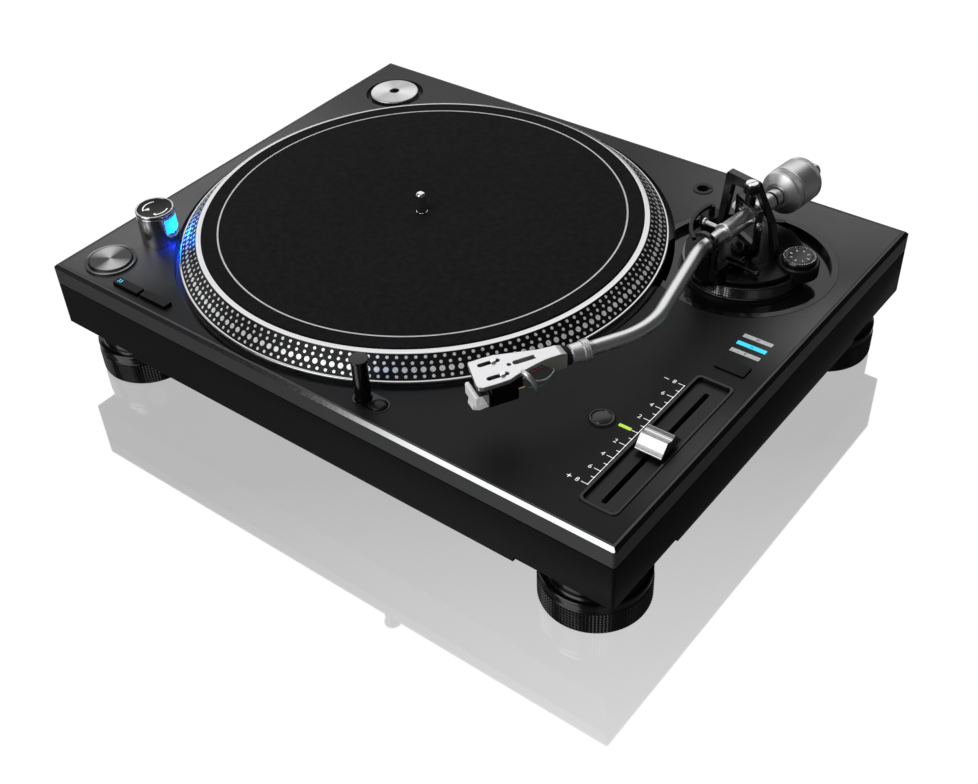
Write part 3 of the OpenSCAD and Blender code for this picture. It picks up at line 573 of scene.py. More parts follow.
def smooth_below(limit):
    """Geometry nodes that keep edges sharp above an angle in degrees."""
    tree = bpy.data.node_groups.new("smooth", "GeometryNodeTree")
    for way in ("INPUT", "OUTPUT"):
        tree.interface.new_socket("Geometry", in_out=way, socket_type="NodeSocketGeometry")
    nodes = Nodes(tree)
    come = nodes.put("NodeGroupInput")["Geometry"]
    angle = nodes.put("GeometryNodeInputMeshEdgeAngle")["Unsigned Angle"]
    above = nodes.put("FunctionNodeCompare", {"A": angle, "B": radians(limit)},
                      data_type="FLOAT", operation="GREATER_THAN")["Result"]
    sockets = {"Geometry": come, "Selection": above, "Shade Smooth": False}
    shade = nodes.put("GeometryNodeSetShadeSmooth", sockets, domain="EDGE")
    nodes.put("NodeGroupOutput", {"Geometry": shade["Geometry"]})
    return tree


SMOOTH = smooth_below(30)


def dress(node, finishes, bevel=0.0, paint=None):
    """Gives a CAD node its finish, soft edges and smooth curved walls."""
    obj = next(o for o in bpy.data.objects if o.get("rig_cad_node") == node)
    obj.data.materials.clear()
    for f in finishes if isinstance(finishes, list) else [finishes]:
        obj.data.materials.append(f.mat)
    for poly in obj.data.polygons:
        poly.use_smooth = True
        poly.material_index = paint(poly.center / MM, poly.normal) if paint else 0
    obj.modifiers.new("weld", "WELD").merge_threshold = 0.000002
    if bevel:
        soften(obj, bevel)
    else:
        obj.modifiers.new("smooth", "NODES").node_group = SMOOTH


# Body


def bevel_paint(c, n):
    """Painted light: the front bevel gets bright polished metal and the other three gloss black, as the same
    bevel looks lit at the front and shaded at the sides.
    """
    if not (0.3 < n.z < 0.95 and c.z > 84):
        return 0
    return 1 if n.y < -0.3 else 2


def deck_paint(c, n):
    """The raised ring round the start button is metal."""
    near_start = hypot(c.x - START[0], c.y - START[1]) < 17.8
    return 1 if near_start and c.z > Z_DECK + 0.02 else 0


def panel_paint(c, n):
    """The dish is gloss black and the deck beside it is brushed."""
    return 0 if hypot(c.x - PIVOT[0], c.y - PIVOT[1]) < 60.3 else 1


dress("base_cabinet", BODY, 0.5)
dress("plinth_casting", [BAND, BEVEL, GLOSS], 0.0, bevel_paint)
dress("deck_plate", [DECK, START_METAL], 0.0, deck_paint)
dress("tonearm_panel", [GLOSS, DECK], 0.0, panel_paint)
dress("bottom_cover", RUBBER, 0.5)
dress("main_board", BOARD, 0.3)
dress("fader_body", KEY, 0.3)
dress("power_inlet", SATIN_BLACK, 0.3)
ROUND_NODES = {
    "cover_screws": BLACK_METAL, "bearing_housing": STEEL, "stator_coils": COPPER,
    "phono_jacks": GILT, "ground_post": CHROME, "rotor_magnet": MAGNET, "arm_base": SATIN_BLACK,
    "weight_insert": STEEL, "foot_core_fl": RUBBER, "foot_core_fr": RUBBER,
    "foot_core_bl": RUBBER, "foot_core_br": RUBBER,
}
for node, finish in ROUND_NODES.items():
    dress(node, finish)


# Feet


for corner, i, j in (("fl", -1, -1), ("fr", 1, -1), ("bl", -1, 1), ("br", 1, 1)):
    place = shift(i * FOOT_X, j * FOOT_Y)
    ring = Shape().turned(
        [(12.05, 3.5), (31.4, 3.5), (31.4, 1.2), (32.6, 1.2), (33.3, 1.9), (33.3, 18.0),
         (32.7, 18.4), (32.7, 20.4), (33.3, 20.9), (33.3, 23.8), (32.6, 24.5), (30.2, 24.5),
         (29.0, 25.4), (29.0, 42.0), (12.05, 42.0)],
        0.3, place, 128,
    )
    ring.knurl(33.25, 0.62, 2.2, 17.8, 104, 7, place)
    ring.make("foot_ring_" + corner + "_skin", FOOT_BLACK, "foot_turn_" + corner,
              "foot_ring_" + corner, "foot_plastic", sharp=24)


# Platter, mat and spindle

CONE_LOW = (164.6, 90.0)
CONE_HIGH = (152.9, 100.9)
CONE_RUN = CONE_LOW[0] - CONE_HIGH[0]
CONE_RISE = CONE_HIGH[1] - CONE_LOW[1]
METAL_PART = 0
BLACK_PART = 1

platter = Shape()
for profile, part in (
    ([(3.95, 95.5), (156, 95.5), (158, 93.5), (158, 81.5), (165.2, 81.5), (165.7, 81.7),
      (166, 82.3), (166, 86.4)], METAL_PART),
    ([(166, 86.4), (166, 89.3), (165.85, 89.7), (165.5, 89.95), (165.0, 90), CONE_LOW], METAL_PART),
    ([CONE_LOW, (158.75, 95.45), CONE_HIGH], BLACK_PART),
    ([CONE_HIGH, (152.75, 101.0), (152.5, 101.07), (149.8, 101.6), (149.5, 101.6),
      (149.3, 101.5), (149.2, 101.3), (149.2, 99.9)], METAL_PART),
    ([(149.2, 99.9), (3.95, 99.9), (3.95, 95.5)], BLACK_PART),
):
    platter.lathe(profile, at(PLATTER), 256, False, part)
platter.make("platter_body", [PLATTER_RIM, PLATTER_BLACK], "turntable", "platter", "platter_metal")

# Rows of strobe dots: count, radius of the row, radius of a dot and phase in degrees.
DOT_ROWS = [(170, 154.4, 1.0, -62.54), (175, 157.0, 1.0, -60.95), (180, 159.9, 1.72, -60.40),
            (186, 162.9, 1.0, -59.95)]
dots = Shape()
slope = degrees(atan2(CONE_RISE, CONE_RUN))
for count, radius, size, phase in DOT_ROWS:
    height = CONE_LOW[1] + (CONE_LOW[0] - radius) / CONE_RUN * CONE_RISE
    for k in range(count):
        place = at(PLATTER) @ turn(phase + 360.0 * k / count)
        place = place @ shift(radius, 0, height) @ turn(slope, "Y")
        dots.lathe([(0, 0.08), (size, 0.08), (size + 0.06, -0.05)], place, 16, False)
dots.make("strobe_dots", DOT, "turntable", slot="platter_metal", sharp=30)

felt = rounded([(4.25, 99.95), (148.8, 99.95), (148.8, 102.3), (4.25, 102.3)], 0.7, 4)
Shape().lathe(felt, at(PLATTER), 256).make("mat_felt", FELT, "mat", "slipmat", "felt")

pin = Shape().lathe(
    [(0, 58.1), (3.9, 58.1), (3.9, 92.5), (16, 92.5), (16, 95.5), (3.9, 95.5), (3.9, 102.4),
     (3.8, 102.5), (3.58, 102.55), (3.58, 114.2), (3.46, 115.0), (3.1, 115.7), (2.5, 116.25),
     (1.6, 116.6), (0, 116.7)],
    at(PLATTER), 48, False,
)
pin.make("spindle_pin", CHROME, "turntable", "spindle", "steel")


# Tower, start button and speed keys

WINDOW_FROM = -17.0
WINDOW_SWEEP = 88.0
WINDOW_GAP = 0.3
tower = Shape().turned(
    [(10.9, 72.1), (11.5, 72.1), (11.5, Z_DECK), (13.25, Z_DECK), (13.25, 108.5), (13.0, 108.8),
     (3.1, 108.8), (3.1, 107.1), (10.9, 107.1)],
    0.15, at(TOWER),
)
tower_skin = tower.make("tower_skin", TOWER_METAL, "chassis", "strobe_tower", "tower_chrome")
carve(tower_skin, Shape().lathe([(9, 95.7), (16, 95.7), (16, 106.7), (9, 106.7)], at(TOWER), 96, True,
                                0, WINDOW_FROM, WINDOW_SWEEP))
lens = Shape()
lens.lathe([(11.0, 95.75), (12.95, 95.75), (12.95, 106.65), (11.0, 106.65)], at(TOWER), 96, True, 0,
           WINDOW_FROM + WINDOW_GAP, WINDOW_SWEEP - 2 * WINDOW_GAP)
lens.make("tower_lens", CYAN, "chassis", "strobe_window", "lens")

cap = Shape().turned(
    [(0, 109.15), (13.1, 109.15), (13.25, 109.4), (13.25, 110.9), (12.9, 111.35), (12.2, 111.45)],
    0.2, at(TOWER), 96, False,
)
cap.lathe([(12.2, 111.45), (12.0, 111.4), (11.8, 111.2)], at(TOWER), 96, False, METAL_PART)
cap.lathe([(11.8, 111.2), (11.5, 111.1), (0, 111.1)], at(TOWER), 96, False, BLACK_PART)
cap.lathe([(0, 96), (3, 96), (3, 109.2)], at(TOWER), 48, False, BLACK_PART)
cap.make("power_cap", [TOWER_METAL, KEY], "power", "power_knob", "black_plastic")
marks = Shape()
top = at(TOWER) @ shift(0, 0, 111.12)
marks.prism([(-1.6, 3.6), (1.6, 3.6), (0, 7.8)], 0, PRINT_T, top @ turn(150))
for inner, outer, begin, sweep in ((8.6, 9.6, -40, 70), (7.4, 8.3, 150, 96)):
    arc = [(inner, 0), (outer, 0), (outer, PRINT_T), (inner, PRINT_T)]
    marks.lathe(arc, top, 64, True, 0, begin, sweep)
marks.prism(circle(0.9, 16, (6.2, -5.2)), 0, PRINT_T, top)
marks.prism(circle(0.5, 16, (-6.4, 4.6)), 0, PRINT_T, top)
marks.make("power_marks", PRINT, "power", slot="black_plastic")

start = Shape().lathe(
    [(0, 84), (14.95, 84), (15, 84.2), (15, 89.0), (14.85, 89.35), (14.5, 89.5), (14.2, 89.35),
     (13.9, 89.1), (0, 89.1)],
    at(START), 128, False,
)
start.lathe([(4, 84.1), (4, 72), (0, 72)], at(START), 32, False)
start.make("start_disc", START_METAL, "start", "start_button", "arm_metal")

SPEED_KEYS = {"33": (-161.6, -164.7), "45": (-135.6, -164.4)}
for speed, centre in SPEED_KEYS.items():
    cover = Shape().prism(box_outline(-12, -3.3, 12, 3.3, 0.7), 84, 89.1, at(centre))
    cover.lathe([(0, 72), (2, 72), (2, 84.1)], at(centre), 24, False)
    cover.make("key_" + speed + "_cap", KEY, "key_" + speed, "button_" + speed, "arm_metal", bevel=0.35)
for speed, x, finish in (("33", -169.6, CYAN_PRINT), ("45", -143.4, DARK_PRINT)):
    printed = Shape().number(speed, 4.2, shift(x, SPEED_KEYS[speed][1], 89.13))
    printed.make("key_" + speed + "_number", finish, "key_" + speed, slot="lens")


# Adaptor and spare headshell socket

adaptor = Shape().turned(
    [(3.6, 84), (7, 84), (7, 82.5), (18.5, 82.5), (19, 83), (19, 87.4), (18.6, 88.0), (18.0, 88.3),
     (4.3, 88.8), (3.6, 88.5)],
    0.25, at(ADAPTOR), 128,
)
adaptor.make("adaptor_disc", ADAPTOR_METAL, "adaptor", "adaptor_45", "platter_metal")

socket = Shape()
socket.turned([(4.05, 71), (6.6, 71), (6.6, Z_DECK), (7.2, Z_DECK), (7.2, 87.1), (4.05, 87.1)], 0.2,
              at(HOLDER), 64)
socket.rod(6.6, 68, 71, at(HOLDER), 64)
holder = socket.make("holder_socket", SATIN_BLACK, "chassis", "headshell_holder", "tower_chrome")
carve(holder, Shape().block((3, -0.9, 80), (5.7, 0.9, 90), at(HOLDER) @ turn(35)))


# Pop-up lamp

LED_ANGLE = 62
bezel = Shape().prism(stadium(12.85, 6.9, (46, -159.6)), 84.6, 87.0)
bezel = bezel.make("lamp_frame", GLOSS, "chassis", "lamp_bezel", "tower_chrome", bevel=0.3)
carve(bezel, Shape().rod(5.3, 80, 90, at(LAMP), 64))
carve(bezel, Shape().rod(5.5, 80, 90, at(RELEASE), 64))
sleeve = Shape().lathe([(5.25, 58), (6.3, 58), (6.3, 84.7), (5.25, 84.7)], at(LAMP), 64)
sleeve.make("lamp_sleeve", STEEL, "chassis", slot="tower_chrome")
lamp = Shape().turned(
    [(0, 75), (5.0, 75), (5.0, 114.6), (5.6, 114.9), (5.9, 115.2), (5.9, 116.2), (5.6, 116.5),
     (0, 116.5)],
    0.15, at(LAMP), 64, False,
)
lamp_skin = lamp.make("lamp_column", GLOSS, "lamp", "popup_lamp", "tower_chrome")
carve(lamp_skin, Shape().block((3.2, -2.2, 109), (8, 2.2, 113.4), at(LAMP) @ turn(LED_ANGLE)))
led = Shape()
led.lathe([(0, 0.9), (0.9, 0.7), (1.4, 0)],
          at(LAMP) @ turn(LED_ANGLE) @ shift(3.2, 0, 111.2) @ turn(90, "Y"), 20, False)
led.make("lamp_led", BLUE, "lamp", slot="lens")
release = Shape().lathe(
    [(0, 74), (2, 74), (2, 79), (5.2, 79), (5.2, 86.2), (5.0, 87.0), (4.5, 87.7), (3.4, 88.25),
     (1.8, 88.45), (0, 88.5)],
    at(RELEASE), 64, False,
)
release.make("release_cap", SATIN_BLACK, "lamp_release", "lamp_button", "tower_chrome")


# Tempo tray, knob and scale

tray = Shape().prism(box_outline(188.5, -156.5, 213.5, -30, 4.4, 8), 84.6, 87.3)
tray = tray.make("tray_rim", GLOSS, "chassis", "tempo_tray", "gloss_black", bevel=0.5)
carve(tray, Shape().prism(box_outline(190.5, -154.5, 211.5, -32, 3.4, 8), 84.0, 90))
tray = Shape().prism(box_outline(190.3, -155.1, 211.7, -31.8, 0.9), 82.65, 84.6)
tray = tray.make("tray_floor", SATIN_BLACK, "chassis", slot="gloss_black")
carve(tray, Shape().prism(box_outline(199.3, -149.5, 202.7, -40.5, 1.6), 80, 90))

KNOB = shift(201.7, -96.5)
across = KNOB @ turn(90) @ turn(90, "X")
half = [(10.3, 87.15), (10.3, 88.3), (8.3, 90.8), (5.6, 94), (4.2, 95.5), (3.3, 95.85), (1.6, 94.9)]
mirrored = [(-x, y) for x, y in half[::-1]]
knob = Shape().prism(rounded([mirrored[-1]] + half + mirrored[:-1], 0.5), -8.8, 8.8, across)
knob.make("tempo_cap", KNOB_METAL, "tempo", "tempo_knob", "silver_plastic", bevel=0.3)
ribs = Shape()
for side in (-1, 1):
    for k in range(5):
        t = (k + 0.5) / 5
        y = side * (9.8 + (8.2 - 9.8) * t)
        z = 88.8 + (90.7 - 88.8) * t
        ribs.block((-8.6, y - 0.16, z - 0.15), (8.6, y + 0.16, z + 0.18), KNOB)
ribs.make("tempo_ribs", BAND, "tempo", slot="silver_plastic")
ends = Shape()
side_plate = rounded([(-9.3, 87.4), (9.3, 87.4), (5.2, 93.2), (3.6, 94.6), (-3.6, 94.6), (-5.2, 93.2)], 0.4)
for side in (-8.7, 8.7):
    ends.prism(side_plate, side - 0.08, side + 0.08, across)
ends.make("tempo_ends", SATIN_BLACK, "tempo", slot="silver_plastic")
pointer = Shape().block((-8.6, -0.3, 94.85), (8.75, 0.3, 94.98), KNOB)
pointer.block((8.7, -0.3, 88.2), (8.78, 0.3, 94.9), KNOB)
pointer.make("tempo_pointer", PRINT, "tempo", slot="silver_plastic")
stem = Shape().block((-1.5, -3, 66), (0.1, 3, 87.2), KNOB)
stem.make("tempo_stem", STEEL, "tempo", slot="silver_plastic")

SCALE_TOP = -44.0
SCALE_STEP = 6.25
scale = Shape()
low_face = Z_DECK + 0.01


def mark(x0, y0, x1, y1):
    scale.block((x0, y0, low_face), (x1, y1, low_face + PRINT_T))


mark(187.15, -144.3, 187.6, -43.7)
for k in range(17):
    y = SCALE_TOP - k * SCALE_STEP
    mark(187.5 - (4.4 if k % 2 == 0 else 2.2), y - 0.22, 187.5, y + 0.22)
for k, number in enumerate(("8", "6", "4", "2", "", "2", "4", "6", "8")):
    if number:
        scale.number(number, 4.6, shift(180.6, SCALE_TOP - 2 * SCALE_STEP * k, low_face))
mark(173.8, -44.25, 176.8, -43.75)
mark(173.8, -144.25, 176.8, -143.75)
mark(175.05, -145.5, 175.55, -142.5)
scale.make("tempo_scale", PRINT, "chassis", slot="deck_metal")

STEM = [(0, 72), (2.5, 72), (2.5, 84.1)]
reset = Shape().lathe(
    [(0, 84), (7.5, 84), (7.5, 87.2), (7.3, 87.5), (6.9, 87.6), (6.3, 87.4), (5.9, 87.0), (5.5, 87.0),
     (5.1, 87.4), (3, 87.6), (0, 87.65)],
    at(RESET), 64, False,
)
reset.lathe(STEM, at(RESET), 24, False)
reset.make("reset_cap", BLACK_METAL, "reset", "reset_button", "black_plastic")
ranger = Shape().prism(box_outline(192.35, -19.05, 211.85, -8.95), 84, 87.7)
ranger.lathe(STEM, shift(202.1, -14), 24, False)
ranger.make("range_cap", KEY, "range", "range_button", "black_plastic", bevel=0.3)

bars = Shape().prism(box_outline(174.6, -94.8, 182.7, -92.6, 0.3), 84.6, 86.7, None, 1)
bar_numbers = Shape()
for number, y, part in (("50", 17.4, 2), ("16", 9.4, 0), ("8", 1.4, 2)):
    bars.prism(box_outline(191.8, y - 1.7, 211.2, y + 1.8, 0.3), 84.6, 86.7, None, part)
    bar_numbers.number(number, 2.5, shift(201.5, y, 86.71))
bars.make("range_bars", [CYAN, GREEN, BAR], "chassis", "indicator_lamps", "gloss_black")
bar_numbers.make("range_numbers", DARK_PRINT, "chassis", slot="gloss_black")


# Tonearm base

knurled = Shape().turned(
    [(30.05, 83.6), (39.3, 83.6), (39.6, 83.9), (39.6, 84.6), (39.0, 84.9), (39.0, 91.6),
     (39.6, 91.9), (39.6, 92.5), (39.2, 92.8), (30.05, 92.8)],
    0.15, at(PIVOT), 128,
)
knurled.knurl(39.1, 0.75, 84.9, 91.6, 150, 4, at(PIVOT))
knurled.make("height_knurl", KNURL, "ring_of_height", "height_ring", "black_metal", sharp=20)

lever = Shape()
lever.turned([(2.55, 82.4), (5.5, 82.4), (5.5, 89.8), (5.2, 90), (0, 90), (0, 89.1), (2.55, 89.1)], 0.1,
             at(LOCK), 48)
lever.prism(rounded([(0, -2.5), (10.5, -1.9), (12, 0), (10.5, 1.9), (0, 2.5)], 0.8), 87.2, 89.9,
            at(LOCK) @ turn(25))
lever.make("lock_lever", SATIN_BLACK, "lever_of_height", "height_lock", "black_metal", bevel=0.25)

LIFT = ARM @ shift(-9.2, -34)
carrier = Shape()
carrier.turned([(20, 64), (24, 64), (24, 93.2), (38, 93.2), (38, 95.8), (37, 96.6), (31, 97), (20, 97)], 0.2,
               at(PIVOT), 128)
carrier.lathe([(2.55, 95.5), (20, 95.5), (20, 97), (9, 97), (9, 99.2), (8.6, 99.5), (2.55, 99.5)],
              at(PIVOT), 96)
carrier.turned([(0, 93.2), (9, 93.2), (9, 97), (0, 97)], 0.3, ARM @ shift(38.5, -2), 48)
carrier.turned([(2.05, 93.2), (7.5, 93.2), (7.5, 103.6), (6.6, 105), (2.05, 105)], 0.3, LIFT, 48)
carrier.block((18, -1, 96), (25, 0.9, 101.5), ARM)
carrier.block((18, 0.8, 96), (19.9, 13, 101.5), ARM)
carrier.block((23.1, 0.8, 96), (25, 13, 101.5), ARM)
carrier.make("carrier_deck", ARM_BLACK, "arm_carrier", "arm_platform", "black_metal", bevel=0.2)

HINGE = ARM @ shift(0, 8, 105) @ turn(90, "Y")
rest = Shape().prism(rounded([(34, -8), (43, -8), (43, 3), (34, 3)], 1.0), 96, 116.8, ARM)
rest = rest.make("rest_post", ARM_BLACK, "arm_carrier", slot="black_metal", bevel=0.3)
carve(rest, Shape().block((28.5, -5.5, 110), (60, 1.5, 114), ARM))
rest = Shape().prism(rounded([(34, 3), (43, 3), (43, 11), (34, 11)], 0.8), 96, 108, ARM)
rest = rest.make("rest_hinge", SATIN_BLACK, "arm_carrier", slot="black_metal", bevel=0.3)
carve(rest, Shape().rod(1.55, 30, 50, HINGE))

pod = Shape().turned([(3.05, 93.2), (13, 93.2), (13, 98.2), (12.2, 99), (3.05, 99)], 0.3, at(SKATE))
pod.make("skate_pod", SATIN_BLACK, "arm_carrier", slot="black_metal")
pod = Shape().lathe([(0, 90), (12.6, 90), (13, 90.4), (13, 93.3), (0, 93.3)], at(SKATE), 96)
pod = pod.make("skate_foot", SATIN_BLACK, "arm_carrier", slot="black_metal")
carve(pod, Shape().rod(40.8, 80, 93.2, at(PIVOT), 160))

dial = Shape().turned(
    [(0, 99.3), (11, 99.3), (11, 101.4), (10.2, 102.4), (8.6, 102.5), (7.6, 102.2), (0, 102.2)],
    0.15, at(SKATE), 96, False,
)
dial.lathe([(0, 94), (3, 94), (3, 99.4)], at(SKATE), 32, False)
dial.knurl(10.85, 0.15, 99.5, 101.3, 90, 1, at(SKATE))
dial.make("skate_dial_cap", BLACK_METAL, "skate_dial", "antiskate_dial", "black_plastic")
ticks = Shape()
for k in range(36):
    inner = 8.9 if k % 5 == 0 else 9.5
    ticks.block((inner, -0.09, 102.5), (10.25, 0.09, 102.53), at(SKATE) @ turn(k * 9 - 90))
for k in range(8):
    ticks.number(str(k), 2.4, at(SKATE) @ turn(k * 45 - 90) @ shift(5.9, 0, 102.22) @ turn(90))
ticks.make("skate_marks", PRINT, "skate_dial", slot="black_plastic")

arch_side = [
    (-24.7, 97), (-19.3, 146.2), (3.5, 144.6), (7, 138.2), (11.2, 131), (17.2, 121.5),
    (21.8, 104), (21.8, 97), (18.2, 97), (17.4, 104), (14.8, 119.5), (13.3, 124.2),
    (6.9, 132.3), (3.4, 139), (-14.7, 139), (-20.3, 97),
]
arch_round = [0.3, 1.6, 2.5, 3, 3, 4, 2, 0.3, 0.3, 2, 4, 3, 3, 1.5, 1.5, 0.3]
across_arm = ARM @ Matrix(((0, 0, -1, 0), (1, 0, 0, 0), (0, 1, 0, 0), (0, 0, 0, 1)))
arch = Shape().prism(rounded(arch_side, arch_round, 4), 0, 5.5, across_arm)
arch.make("arch_frame", BLACK_METAL, "arm_carrier", "gimbal_bridge", "black_metal", bevel=0.4)
boss = Shape().turned([(1.55, 139.1), (5, 139.1), (5, 144.1), (4.7, 144.4), (1.55, 144.4)], 0.2, ARM, 48)
boss.make("arch_boss", SATIN_BLACK, "arm_carrier", slot="black_metal")


def slotted(radius, low, high, body, name, matrix, deep=0.8):
    """A chrome screw head with one slot across its face."""
    side = [(0, low), (radius, low), (radius, high - 0.3), (radius - 0.3, high), (0, high)]
    head = Shape().turned(side, 0.15, matrix, 48, False).make(name, CHROME, body, slot="black_metal")
    carve(head, Shape().block((-radius - 1, -0.5, high - deep), (radius + 1, 0.5, high + 1), matrix))


slotted(4.0, 144.2, 145.6, "arm_carrier", "arch_screw", ARM @ turn(-20))

upright = SKEW @ turn(90, "X")
outer = rounded([(-13, 102), (13, 102), (13, 131.5), (-13, 131.5)], 1.2)
inner = rounded([(-9.6, 106), (9.6, 106), (9.6, 128.7), (-9.6, 128.7)], 1.5)
gimbal = Shape().prism(outer, -2, 2, upright)
gimbal = gimbal.make("gimbal_ring", BLACK_METAL, "gimbal", "gimbal_frame", "black_metal", bevel=0.35)
carve(gimbal, Shape().prism(inner, -5, 5, upright))
pivots = Shape().rod(2.5, 97, 102.2, SKEW)
pivots.lathe([(0, 135.9), (1.5, 135.9), (1.5, 143), (1.3, 143.2), (0, 143.2)], SKEW, 32)
pivots.make("gimbal_pins", CHROME, "gimbal", slot="black_metal")
collar = Shape()
collar.turned([(0, 131.3), (3.4, 131.3), (3.4, 135.7), (3.1, 136), (0, 136)], 0.2, SKEW, 48, False)
collar.make("gimbal_collar", SATIN_BLACK, "gimbal", slot="black_metal")
slotted(3.2, 12.9, 15.2, "gimbal", "gimbal_screw_right", SKEW_AXIS @ turn(35), 0.9)
stub = Shape()
stub.turned([(0, 12.9), (2.9, 12.9), (2.9, 14.9), (2.5, 15.2), (0, 15.2)], 0.15,
            SKEW_AXIS @ turn(180, "X"), 48, False)
stub.make("gimbal_stub_left", WHITE, "gimbal", slot="black_metal")

clip_frame = ARM @ Matrix(((0, 0, 1, 43.3), (1, 0, 0, 0), (0, 1, 0, Z_ARM), (0, 0, 0, 1)))
clip = Shape()
clip.prism(circle(9.7, 25, (0, 0), -16, 138) + circle(7.5, 25, (0, 0), 138, -16), 0, 3.2, clip_frame)
clip.prism(rounded([(6.3, -15.4), (9.1, -15.4), (9.1, 5), (8.4, 9.2), (7.4, 9.2), (6.3, 5), (6.3, -3)], 0.6),
           0, 3.2, clip_frame)
clip.turned([(0, 43.3), (3, 43.3), (3, 46.5), (0, 46.5)], 0.2, HINGE, 32)
clip.rod(1.5, 30.6, 43.4, HINGE, 24)
clip.make("rest_hook", BLACK_METAL, "clip", "rest_clip", "black_metal", bevel=0.25)

bed = Shape()
bed.lathe(rounded([(33.9, 110), (36.5, 110), (36.5, 112.4), (33.9, 112.4)], 0.4), ARM, 160, True, 0, -103, 71)
bed.rod(2, 96, 111, LIFT)
bed.make("lift_bar", SATIN_BLACK, "lift", "lift_bed", "black_metal")

cue = Shape().sweep([(12, 8, 99.5), (28, 8, 99.5)], 0.8, 20, ARM)
cue.sweep([(21.5, 6.9, 99.5), (21.5, 14, 99.5), (21.5, 23.9, 99.5)], [1.1, 1.0, 0.9], 20, ARM)
cue.lathe([(0, 2), (0.8, 1.85), (1.5, 1.3), (1.9, 0.6), (2, 0), (1.9, -0.6), (1.5, -1.3), (0.8, -1.85),
           (0, -2)], ARM @ shift(21.5, 24, 99.5), 32, False)
cue.make("cue_rod", BLACK_METAL, "lift_lever", "cue_lever", "silver_plastic")


# Tonearm

hub = Shape().turned(
    [(0, -31), (5.6, -31), (5.6, -24.6), (5.1, -24.4), (5.1, -22.6), (5.6, -22.4), (5.7, -14),
     (5.7, 24.4), (6.3, 24.8), (6.3, 26.4), (6.0, 26.7), (4.4, 26.7), (4.4, 16), (0, 16)],
    0.12, ARM_AXIS, 64,
)
hub.lathe([(0, -73), (4.4, -73), (4.8, -72.6), (4.8, -30.5), (0, -30.5)], ARM_AXIS, 48)
hub.sweep([(-13.4, 0, Z_ARM), (13.4, 0, Z_ARM)], 1.5, 24, SKEW)
hub.sweep([(23, -4, Z_ARM), (23, -16, Z_ARM)], 1.45, 24, ARM)
hub.turned([(0, 15.5), (2.2, 15.5), (2.6, 15.9), (2.6, 17.1), (2.2, 17.5), (0, 17.5)], 0.2,
           ARM @ shift(23, 0, Z_ARM) @ turn(90, "X"), 32, False)
hub.make("hub_body", SATIN, "tonearm", "arm_hub", "arm_metal")
band = Shape().turned([(4.9, -24.5), (5.45, -24.5), (5.45, -22.5), (4.9, -22.5)], 0.1, ARM_AXIS, 64)
band.make("hub_band", RUBBER, "tonearm", slot="arm_metal")


def arm_path():
    """Centre line of the S, from the hub to the neck, as straight and bent lengths."""
    points = [(17.0, 0.0, Z_ARM)]
    angle = 0.0
    for length, radius, bend, steps in (
        (25.23, 0, 0, 3), (0, 50, 19, 10), (57.87, 0, 0, 4), (0, 52, -41, 20), (17.6, 0, 0, 3),
    ):
        s, w, z = points[-1]
        side = copysign(radius, bend)
        first = angle
        for k in range(1, steps + 1):
            angle = first + radians(bend) * k / steps
            x = s + cos(first) * length * k / steps + side * (sin(angle) - sin(first))
            y = w + sin(first) * length * k / steps - side * (cos(angle) - cos(first))
            points.append((x, y, z))
    return points


tube = Shape().sweep(arm_path(), 4.35, 40, ARM)
tube.turned([(4.35, -18.1), (5, -15), (5, -3.2), (4.05, -3.2), (4.05, -14.5), (3.4, -14.5), (3.4, -18.1)],
            0.08, SHELL_AXIS, 64)
tube.make("tube_body", SATIN, "tonearm", "arm_tube", "arm_metal")

collar = Shape().turned(
    [(5.05, -14.9), (6.5, -14.9), (6.8, -14.6), (6.8, -13.9), (6.3, -13.6), (6.8, -13.2), (6.8, -12.4),
     (6.3, -12.1), (6.8, -11.7), (6.8, -11.0), (5.9, -10.5), (5.9, -3.7), (5.7, -3.5), (5.05, -3.5)],
    0.12, SHELL_AXIS, 64,
)
collar.make("collar_body", TURNED, "collar", "locking_collar", "arm_metal")

# Counterweight

weight = Shape().turned(
    [(11.05, -59.4), (13.9, -59.4), (14.6, -58.9), (14.6, -56.2), (14.2, -55.7), (14.2, -55.3),
     (14.8, -54.9), (15, -54.5), (15, -40.5), (14.6, -40.05), (12.4, -40.05), (12.4, -36.5),
     (11.05, -36.5)],
    0.2, ARM_AXIS, 128,
)
weight.knurl(14.62, 0.3, -58.9, -56.2, 120, 2, ARM_AXIS)
weight.make("weight_body", TURNED, "weight", "counterweight", "weight_steel", sharp=25)
rear = Shape().turned([(4.95, -58.9), (10.9, -58.9), (10.9, -58.3), (4.95, -58.3)], 0.1, ARM_AXIS, 64)
rear.make("weight_rear", TURNED, "insert", slot="weight_steel")

cone = Shape().turned(
    [(12.45, -39.6), (14.45, -39.6), (14.45, -34.8), (14.0, -33.9), (8.2, -30.25), (6.1, -30.25),
     (6.1, -32.6), (12.45, -35.5)],
    0.15, ARM_AXIS, 128,
)
cone.knurl(14.45, 0.32, -39.3, -35.0, 110, 4, ARM_AXIS)
cone.make("dial_cone", TURNED, "dial_of_weight", "weight_dial", "arm_metal", sharp=25)
graduation = Shape()
# The marks and numbers lean as the cone of the dial does.
lean = turn(degrees(atan2(5.8, 3.65)) - 90, "Y")
for k in range(40):
    place = ARM_AXIS @ turn(9.0 * k) @ shift(13.9, 0, -33.84) @ lean
    graduation.block((-2.4 if k % 5 == 0 else -1.5, -0.1, 0.02), (0, 0.1, 0.05), place)
for k in range(8):
    place = ARM_AXIS @ turn(45.0 * k) @ shift(10.4, 0, -31.63) @ lean @ turn(-90)
    graduation.number(str(k % 4), 2.4, place)
graduation.make("dial_marks", DARK_PRINT, "dial_of_weight", slot="arm_metal")


# Headshell, cartridge and stylus

